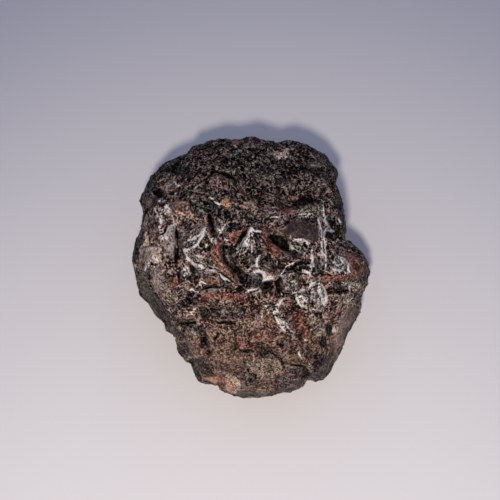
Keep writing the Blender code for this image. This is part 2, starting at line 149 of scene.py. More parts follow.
# Crystal blades and ledges: points of the crest, half the width of the foot, and how far it stands out
BLADES = (
    (((-15.5, 13.8), (-12.0, 14.9), (-8.0, 14.4), (-4.0, 12.6), (0.0, 11.8), (3.0, 10.8),
      (5.5, 9.9)), 2.4, 1.1),
    (((5.5, 10.0), (8.0, 11.0), (12.0, 11.9), (14.5, 12.0)), 1.6, 1.2),
    (((-13.0, 3.2), (-12.2, 1.6), (-9.6, 0.0), (-6.0, -1.7), (-3.0, -3.0)), 2.2, 1.7),
    (((-13.0, 3.4), (-10.4, 4.6), (-8.8, 7.6)), 1.6, 1.3),
    (((-6.8, 5.4), (-6.4, 1.0), (-4.2, -1.0), (-2.3, -2.6)), 1.6, 1.6),
    (((0.6, 7.8), (-1.2, 4.6), (-3.0, 2.2)), 2.4, 2.2),
    (((0.6, 7.8), (1.0, 3.5), (1.6, 0.5)), 2.2, 2.2),
    (((0.8, 7.8), (2.6, 4.0), (4.6, -1.1)), 2.0, 1.9),
    (((2.8, 7.6), (4.6, 3.4), (6.6, 1.8), (9.6, 1.4)), 1.5, 1.3),
    (((13.9, 10.0), (14.3, 5.0), (14.5, 0.0)), 0.9, 0.9),
    (((15.2, 10.0), (15.1, 4.0), (15.3, -0.8)), 0.9, 0.9),
    (((17.5, 10.0), (18.0, 7.5), (17.2, 5.0)), 1.0, 0.9),
    (((12.5, -2.3), (17.0, -1.9), (20.5, -0.9), (23.0, 0.4)), 2.8, 1.5),
    (((-10.2, -6.6), (-8.0, -5.5), (-4.0, -5.4), (0.0, -6.4), (4.5, -6.2)), 1.7, 1.0),
    (((4.4, -7.8), (6.0, -11.5), (7.6, -14.0)), 1.9, 1.6),
    (((4.6, -7.8), (8.2, -13.0), (12.2, -20.6)), 2.0, 1.6),
    (((4.4, -7.8), (2.4, -8.0), (2.1, -10.4)), 1.0, 0.9),
    (((0.8, -14.5), (3.8, -14.7), (6.2, -14.0)), 1.3, 0.9),
    (((-16.6, -10.6), (-11.0, -10.5)), 1.4, 0.9),
    (((-20.6, -0.8), (-19.2, 2.0), (-17.6, 0.6)), 1.2, 0.9),
    (((-18.2, 13.6), (-18.8, 10.8), (-18.0, 7.6), (-17.6, 4.0)), 1.1, 0.9),
    (((12.2, 2.6), (12.7, 0.2), (11.8, -1.6)), 1.0, 0.9),
    (((10.2, 0.4), (12.7, 0.0)), 0.8, 0.8),
    (((4.7, -7.8), (5.8, -7.0), (6.2, -5.4)), 0.9, 0.8),
    (((2.7, -2.6), (4.8, -2.5), (6.4, -1.5), (9.0, 1.0)), 0.7, 0.6),
    (((-14.4, -15.1), (-12.2, -14.9)), 0.8, 0.9),
    (((-9.5, -22.3), (-6.0, -22.8)), 1.0, 0.7),
    (((10.0, -4.7), (8.4, -5.0)), 0.7, 0.6),
    (((-15.4, 14.6), (-12.6, 15.3), (-10.2, 16.2), (-8.2, 17.2)), 0.7, 0.5),
    (((2.6, 10.4), (4.2, 9.9), (4.4, 8.6), (3.8, 6.6)), 0.8, 0.7),
    (((-12.4, -4.3), (-10.3, -5.0)), 0.7, 0.5),
    (((10.2, 20.2), (13.0, 20.6), (16.2, 20.0)), 1.2, 0.6),
)

# Flat slabs: corners, and how far the top stands out
SLABS = (
    (((6.2, 7.3), (8.2, 9.2), (10.2, 9.9), (13.7, 9.6), (13.8, 5.2), (13.0, 3.4), (7.6, 5.6)), 1.0),
    (((-17.3, 5.6), (-16.6, 8.0), (-15.1, 8.2), (-15.0, 1.0), (-17.2, 1.2)), 1.1),
    (((6.2, -2.2), (8.4, -0.4), (9.6, -1.6), (9.4, -4.3), (6.5, -4.6)), 0.8),
    (((-16.8, -0.6), (-15.2, -0.4), (-15.0, -2.4), (-16.6, -2.8)), 0.5),
    (((-7.6, -8.0), (-3.6, -7.6), (-1.2, -9.0), (-2.4, -10.8), (-7.4, -10.6)), 0.5),
    (((-11.6, -19.0), (-8.6, -18.6), (-7.8, -21.4), (-10.8, -22.0)), 0.7),
)

# Round lumps: middle, half width, half height, and how far each stands out
LUMPS = (
    ((-5.7, 16.3), 2.4, 2.0, 0.6),
    ((-4.6, 13.0), 1.4, 1.2, 0.7),
    ((-14.0, 11.8), 2.1, 1.7, 1.0),
    ((-20.0, 13.2), 1.5, 2.0, 0.8),
    ((0.9, -2.7), 1.8, 1.6, 1.3),
    ((10.7, -6.3), 1.9, 2.1, 1.0),
    ((13.5, -5.3), 1.7, 2.5, 1.0),
    ((7.6, -23.0), 3.0, 2.0, 0.8),
    ((14.0, -20.8), 2.4, 2.4, 0.9),
    ((-9.3, -20.0), 2.4, 1.8, 0.9),
    ((-15.2, -12.2), 1.6, 1.1, 0.8),
    ((-12.8, -8.8), 2.8, 1.8, 0.9),
    ((-2.4, -23.2), 3.8, 2.2, 0.9),
    ((-12.6, -13.3), 1.8, 1.4, 0.7),
    ((8.9, 13.7), 0.9, 0.6, 0.8),
    ((6.8, 22.2), 1.2, 1.0, 0.5),
    ((-2.6, 24.4), 1.4, 1.0, 0.5),
    ((-8.6, -16.4), 0.9, 0.9, 0.5),
    ((-1.6, -14.8), 1.4, 1.0, 0.4),
    ((3.9, -11.2), 1.2, 1.5, 0.5),
    ((17.6, -12.6), 1.0, 1.3, 0.4),
    ((-4.9, -19.6), 1.8, 1.3, 0.4),
)

# Fine parallel or fanning grooves: where the rays start, the stretch that they cross, half its width, the
# angle between rays in degrees, and depth
FANS = (
    ((-13.4, 2.4), ((-11.2, 1.4), (-7.4, 1.2)), 1.6, 4.2, 0.16),
    ((-15.0, 3.4), ((-10.6, -0.9), (-5.6, -2.3)), 1.1, 2.2, 0.13),
    ((0.5, 9.0), ((0.4, 5.4), (0.6, 2.0)), 2.6, 7.5, 0.22),
    ((-15.6, 40.0), ((-16.1, 7.0), (-16.0, 1.4)), 1.1, 0.75, 0.14),
    ((-18.0, 30.0), ((-18.4, -0.4), (-17.8, -4.4)), 2.0, 1.1, 0.16),
    ((-40.0, -6.0), ((-14.4, -7.0), (-10.8, -9.4)), 2.2, 1.3, 0.14),
    ((3.6, -5.6), ((5.8, -10.4), (8.6, -15.6)), 1.2, 5.0, 0.16),
    ((13.5, 40.0), ((13.6, -9.0), (13.8, -16.0)), 3.2, 0.95, 0.18),
    ((15.0, 40.0), ((14.4, 3.6), (14.6, 0.4)), 1.4, 0.85, 0.16),
    ((-6.0, 18.0), ((-6.2, 9.4), (-5.6, 6.8)), 1.0, 2.6, 0.16),
    ((10.0, 30.0), ((19.4, -8.0), (17.6, -16.0)), 1.6, 1.4, 0.08),
)

# White chalky seams: points, half width, and strength
CHALK_SEAMS = (
    (((-16.9, 5.8), (-16.9, 7.2), (-16.3, 8.1), (-15.1, 8.2)), 0.30, 1.0),
    (((-15.1, 8.2), (-15.0, 5.0), (-15.05, 2.6)), 0.14, 0.7),
    (((-18.2, 12.8), (-17.6, 13.8), (-17.0, 13.4), (-16.8, 12.2), (-16.4, 11.8)), 0.22, 0.9),
    (((-18.9, 11.6), (-18.7, 10.4), (-18.1, 9.6), (-17.8, 10.2)), 0.20, 0.9),
    (((-18.1, 9.4), (-18.2, 7.6), (-17.6, 6.4), (-17.3, 5.2), (-17.7, 4.0)), 0.18, 0.8),
    (((-20.8, -0.6), (-19.9, 0.9), (-19.2, 2.1), (-18.6, 1.5)), 0.20, 0.8),
    (((-15.6, 14.2), (-14.4, 14.9), (-12.6, 15.2), (-11.2, 15.5), (-10.2, 16.1)), 0.14, 0.7),
    (((-15.0, 17.0), (-13.9, 15.9)), 0.10, 0.7),
    (((-8.0, 13.6), (-7.2, 13.3), (-6.8, 12.7), (-5.6, 12.4)), 0.20, 1.0),
    (((-8.8, 7.8), (-9.2, 6.9), (-10.4, 6.1), (-12.0, 5.3)), 0.28, 0.95),
    (((-9.2, 6.8), (-10.0, 5.4), (-10.5, 4.3), (-12.0, 3.7), (-13.0, 3.3)), 0.32, 1.0),
    (((-9.1, 6.8), (-9.2, 5.4), (-8.8, 4.2)), 0.18, 0.6),
    (((-13.1, 3.2), (-12.6, 2.2), (-12.1, 1.5)), 0.30, 0.9),
    (((-12.1, 2.2), (-10.0, 2.2)), 0.15, 1.0),
    (((-12.0, 1.5), (-10.6, 0.4), (-9.4, -0.2)), 0.42, 1.0),
    (((-9.4, -0.2), (-8.0, -0.7), (-6.4, -1.1), (-5.4, -2.0), (-4.0, -2.7)), 0.16, 0.8),
    (((-12.4, 1.3), (-12.5, 0.2), (-12.2, -1.2)), 0.20, 0.9),
    (((-13.2, -0.2), (-12.1, -1.9)), 0.10, 0.7),
    (((-7.8, 5.3), (-6.9, 5.8), (-6.2, 6.3)), 0.20, 0.8),
    (((-6.8, 9.8), (-6.3, 8.2), (-5.8, 6.8)), 0.12, 0.5),
    (((-5.0, 5.8), (-4.4, 5.4)), 0.25, 0.7),
    (((0.4, 8.0), (0.7, 7.4), (1.9, 7.3)), 0.30, 1.0),
    (((0.3, 7.6), (-0.2, 6.4)), 0.30, 1.0),
    (((-0.2, 6.4), (-1.0, 5.0), (-1.9, 3.7), (-3.3, 2.3)), 0.12, 0.9),
    (((-3.4, 2.2), (-2.7, 1.5), (-2.3, 0.2)), 0.13, 0.7),
    (((0.2, 6.4), (0.8, 5.2), (1.8, 4.4)), 0.10, 0.6),
    (((-0.2, 5.6), (0.2, 4.2), (0.2, 2.6)), 0.10, 0.6),
    (((-0.6, 4.8), (-0.6, 3.4), (-1.4, 2.2)), 0.10, 0.6),
    (((1.8, 2.4), (1.3, 1.2), (1.4, 0.2)), 0.22, 0.9),
    (((-0.9, -1.2), (0.3, 0.1), (1.0, 0.6)), 0.10, 0.6),
    (((-1.4, -2.6), (-0.4, -1.4), (0.6, -1.0)), 0.12, 0.7),
    (((0.8, -1.0), (2.0, -0.7), (2.8, -1.1), (3.1, -1.8)), 0.30, 1.0),
    (((2.7, -2.6), (3.6, -2.3), (4.9, -2.4)), 0.26, 0.95),
    (((2.5, -2.7), (2.4, -4.0), (0.4, -4.5), (-0.4, -4.7)), 0.14, 0.9),
    (((4.9, -2.6), (6.2, -1.6), (7.4, -0.1), (9.0, 1.0)), 0.13, 0.9),
    (((7.8, 4.8), (8.6, 5.2), (9.4, 5.6), (10.6, 5.5), (11.4, 5.0), (11.5, 3.8)), 0.22, 0.95),
    (((7.9, 4.8), (8.7, 3.8), (9.6, 3.2), (10.5, 2.4)), 0.20, 0.95),
    (((8.6, 5.0), (9.5, 4.3), (9.6, 3.3)), 0.12, 0.8),
    (((10.6, 5.4), (10.2, 4.2), (11.0, 3.4), (10.6, 2.5)), 0.13, 0.85),
    (((6.2, 7.0), (7.2, 5.9), (8.0, 4.8)), 0.13, 0.7),
    (((3.8, 6.5), (4.6, 7.2)), 0.22, 0.8),
    (((4.0, 10.0), (5.3, 10.0)), 0.16, 0.8),
    (((4.3, 9.6), (4.4, 8.4)), 0.12, 0.6),
    (((8.2, 9.2), (9.2, 10.1), (10.4, 10.4), (12.6, 10.5), (13.6, 10.1)), 0.18, 0.75),
    (((9.2, 9.6), (10.6, 9.9), (13.0, 9.9)), 0.10, 0.5),
    (((13.6, 9.6), (14.0, 7.8), (14.4, 6.4), (14.2, 4.4), (14.5, 2.6)), 0.28, 1.0),
    (((14.7, 13.2), (14.7, 12.4), (14.9, 11.0), (15.3, 9.6), (15.4, 8.0)), 0.20, 0.9),
    (((15.4, 8.0), (14.8, 6.2), (15.0, 4.4), (15.3, 3.0), (15.2, 1.0), (15.1, -0.9)), 0.26, 1.0),
    (((14.5, 2.6), (15.4, 2.4)), 0.32, 0.9),
    (((15.0, 7.0), (15.6, 7.5), (16.2, 7.2)), 0.30, 1.0),
    (((17.2, 10.0), (17.9, 8.6), (18.0, 6.6), (17.3, 5.2), (16.4, 4.8)), 0.18, 0.9),
    (((16.2, 10.3), (16.4, 9.4)), 0.12, 0.6),
    (((12.2, 3.4), (12.2, 2.4), (12.6, 1.0), (12.8, 0.2)), 0.28, 0.95),
    (((10.6, 0.4), (11.8, 0.5), (12.8, 0.1)), 0.15, 0.8),
    (((10.4, -0.4), (11.4, -1.0), (12.2, -2.0)), 0.16, 0.8),
    (((12.4, -0.4), (11.8, -1.4)), 0.14, 0.9),
    (((17.4, 1.9), (18.0, 1.4), (18.3, 0.9)), 0.40, 0.75),
    (((16.2, -0.8), (17.4, -0.7), (19.2, -1.1), (19.6, -0.9), (19.4, 0.1)), 0.22, 0.9),
    (((18.6, -3.6), (20.2, -3.8), (21.4, -3.4), (22.6, -2.6)), 0.45, 0.5),
    (((21.2, -4.0), (22.4, -4.2)), 0.40, 0.5),
    (((15.9, -2.8), (15.4, -4.4)), 0.15, 0.8),
    (((9.2, -4.9), (9.2, -6.2), (9.8, -7.5), (11.3, -8.2)), 0.24, 0.9),
    (((8.4, -5.0), (9.6, -4.9), (10.6, -4.4)), 0.24, 1.0),
    (((10.2, -5.9), (10.9, -6.7)), 0.36, 0.7),
    (((11.6, -4.2), (12.4, -3.2), (13.8, -3.3), (14.8, -4.2), (15.3, -5.6), (15.3, -7.2)), 0.22, 0.95),
    (((13.8, -4.4), (14.2, -5.8), (14.8, -7.6)), 0.32, 0.9),
    (((12.2, -9.6), (12.6, -8.3), (12.9, -8.6)), 0.17, 0.8),
    (((4.6, -7.8), (3.2, -7.7), (2.4, -8.4), (2.2, -10.2)), 0.20, 0.9),
    (((4.6, -7.9), (5.7, -7.1), (6.2, -6.2), (6.1, -5.4)), 0.19, 0.95),
    (((4.2, -8.2), (5.2, -10.0), (6.2, -12.0), (7.2, -13.2)), 0.22, 0.75),
    (((5.0, -8.2), (6.4, -10.0), (8.2, -13.0)), 0.14, 0.7),
    (((8.2, -13.6), (9.2, -16.2), (10.6, -18.6), (12.0, -20.6)), 0.10, 0.6),
    (((12.2, -18.8), (11.6, -20.2), (12.0, -20.8)), 0.12, 0.5),
    (((11.0, -14.4), (11.2, -14.5)), 0.32, 0.9),
    (((-9.9, -2.9), (-9.1, -3.3)), 0.17, 1.0),
    (((-10.0, -3.6), (-9.3, -4.0)), 0.17, 1.0),
    (((-12.2, -4.3), (-11.2, -4.5), (-10.4, -5.0)), 0.14, 0.6),
    (((-8.0, -4.6), (-5.6, -4.5)), 0.12, 0.5),
    (((15.0, 16.4), (14.0, 16.0), (13.2, 16.2)), 0.16, 0.7),
    (((14.5, 13.4), (14.7, 13.2)), 0.22, 0.9),
    (((-9.0, 3.8), (-8.9, 3.6)), 0.26, 0.9),
)

# Fans of fine chalk lines: where they start, the ends of the first and the last, how many, and strength
CHALK_RAYS = (
    ((-13.1, 3.6), (-10.0, 6.4), (-9.4, 4.4), 4, 0.6),
    ((-12.2, 1.6), (-9.6, 2.4), (-7.6, -0.4), 5, 0.4),
    ((-12.6, 1.4), (-13.0, -2.2), (-11.6, -2.0), 4, 0.6),
    ((-9.0, 7.0), (-11.4, 5.4), (-8.4, 4.6), 6, 0.6),
    ((-6.0, 6.6), (-7.2, 9.6), (-4.4, 9.0), 6, 0.5),
    ((-6.4, 5.8), (-8.8, 4.0), (-7.4, 3.6), 3, 0.5),
    ((0.5, 7.9), (-3.2, 2.6), (1.4, 3.0), 8, 0.6),
    ((-1.1, 4.6), (1.6, 3.0), (-2.4, 0.6), 6, 0.6),
    ((1.7, 2.2), (-0.4, 1.2), (1.8, -0.6), 5, 0.5),
    ((4.4, 10.0), (3.0, 11.2), (5.8, 8.6), 5, 0.4),
    ((12.8, 0.2), (10.4, 1.4), (10.6, -1.8), 6, 0.6),
    ((9.2, 5.0), (8.0, 3.4), (11.0, 3.2), 7, 0.6),
    ((14.6, 10.0), (13.8, 12.2), (15.8, 11.6), 4, 0.5),
    ((18.2, -0.4), (16.4, -1.2), (19.4, 1.2), 7, 0.5),
    ((9.4, -5.2), (9.2, -7.6), (11.4, -7.0), 6, 0.6),
    ((13.4, -3.4), (12.4, -7.0), (15.2, -6.6), 7, 0.6),
    ((4.4, -7.8), (2.2, -10.4), (4.0, -9.8), 4, 0.5),
    ((4.6, -7.8), (6.4, -13.4), (8.8, -13.6), 6, 0.6),
    ((-17.2, 12.6), (-18.6, 9.6), (-16.2, 10.4), 5, 0.5),
    ((-19.2, 1.6), (-21.4, -0.6), (-17.2, -0.8), 6, 0.5),
    ((-18.2, 4.6), (-19.4, 3.0), (-17.0, 2.4), 5, 0.4),
)
RAY_LENGTHS = (1.0, 0.62, 0.86, 0.48, 0.94, 0.70)
RAY_HALF_WIDTH = 0.06

# Cross-section of a seam: share of its width that is full, unevenness of its edge, how far it falls off,
# its strongest middle, the faint tail's strength and reach, how far it stands out, and how soft that is
SEAM_WIDTH = 0.80
SEAM_UNEVENNESS = 0.10
SEAM_FALL = 0.55
SEAM_CORE = 1.28
SEAM_TAIL = 0.78
SEAM_TAIL_REACH = 0.55
SEAM_HEIGHT = 0.10
SEAM_SOFTNESS = 0.9

# Soft lighter and darker areas, partly the rock's own tone and partly painted shade along the top and the
# rims: middle, half width, half height, and what the tone is multiplied by
SHADES = (
    ((-18.2, 4.0), 4.2, 8.0, 1.45),
    ((-10.4, 2.6), 4.0, 4.6, 1.40),
    ((13.0, -5.0), 4.6, 3.4, 1.25),
    ((14.6, 4.0), 2.8, 7.0, 1.60),
    ((-16.0, 16.4), 3.4, 2.6, 2.00),
    ((-4.0, -6.0), 5.4, 1.2, 1.30),
    ((-4.4, -9.2), 3.8, 1.6, 0.76),
    ((3.0, 11.6), 8.0, 2.6, 0.86),
    ((-15.0, -9.4), 4.0, 3.4, 0.84),
    ((0.0, -12.4), 7.0, 3.0, 0.92),
    ((10.0, 5.4), 2.2, 2.4, 1.30),
    ((0.0, 3.5), 15.0, 5.0, 1.05),
    ((0.0, 20.0), 9.0, 3.6, 0.38),
    ((-13.5, 13.5), 4.4, 3.4, 1.45),
    ((2.0, -19.0), 5.0, 3.4, 0.78),
    ((0.0, -24.5), 8.0, 2.2, 0.85),
    ((18.0, -12.5), 2.6, 5.0, 1.28),
    ((21.6, -1.6), 3.0, 3.4, 0.74),
    ((12.0, -15.5), 3.0, 3.0, 0.85),
    ((18.0, 3.0), 2.8, 2.4, 0.72),
    ((-5.0, 1.2), 2.6, 3.2, 1.30),
    ((-14.6, 19.4), 4.6, 2.4, 0.42),
    ((12.6, 20.4), 4.2, 3.0, 0.52),
    ((0.0, 24.0), 9.0, 2.0, 0.62),
    ((-22.2, 2.2), 1.8, 3.6, 0.62),
    ((-19.6, 3.0), 2.2, 2.0, 0.82),
    ((-16.4, -6.2), 3.8, 4.2, 0.80),
    ((17.6, 12.6), 1.8, 5.0, 0.84),
    ((14.6, -21.4), 3.8, 3.8, 0.80),
    ((11.6, -10.6), 3.2, 2.2, 0.84),
    ((4.0, -24.6), 4.8, 1.8, 1.25),
)

# The rim is painted a little warmer than the seen face, against the cool light that it reflects, and the
# sides and the back are painted a little paler too, as a fill for the shade they lie in
RIM_PAINTED_WARMTH = (1.08, 0.98, 0.84)
HIDDEN_PAINTED_FILL = 1.4

# Thin greyish-white dust: how soft its edge is, then points, half width, and strength
DUST_SOFTNESS = 0.6
DUST_PATCHES = (
    (((-18.6, -0.2), (-17.8, -3.8)), 1.5, 0.38),
    (((-15.9, 7.0), (-15.9, 2.0)), 0.9, 0.45),
    (((-10.6, -1.0), (-6.6, -2.0)), 1.1, 0.45),
    (((7.0, -1.6), (8.2, -3.6)), 1.4, 0.40),
    (((0.6, 5.6), (0.6, 1.4)), 1.9, 0.42),
    (((-6.2, 9.0), (-5.6, 6.6)), 0.9, 0.40),
    (((12.0, -9.4), (12.4, -12.0)), 0.9, 0.35),
    (((13.4, -4.4), (14.2, -7.0)), 1.8, 0.48),
    (((10.6, -5.6), (10.9, -6.9)), 1.6, 0.48),
    (((14.9, 2.6), (15.0, 0.2)), 1.5, 0.42),
    (((17.6, 1.6), (18.8, -0.4)), 1.6, 0.45),
    (((-20.6, 2.2), (-18.0, 3.0)), 1.6, 0.42),
    (((-16.6, 13.4), (-16.8, 11.4)), 1.2, 0.35),
    (((-10.6, 5.6), (-12.6, 4.0)), 1.0, 0.40),
    (((12.6, -2.6), (15.0, -4.0)), 1.0, 0.35),
    (((19.0, -3.8), (22.0, -3.4)), 0.9, 0.45),
    (((-1.6, 19.2), (2.0, 17.0)), 2.4, 0.20),
    (((4.2, 21.2), (6.8, 22.4)), 1.4, 0.30),
    (((13.0, 20.4), (15.6, 20.4)), 1.0, 0.28),
    (((13.4, -11.2), (13.8, -13.0)), 0.9, 0.42),
    (((17.3, -12.0), (17.7, -13.2)), 0.8, 0.45),
    (((19.4, -6.6), (19.6, -8.6)), 1.0, 0.30),
)
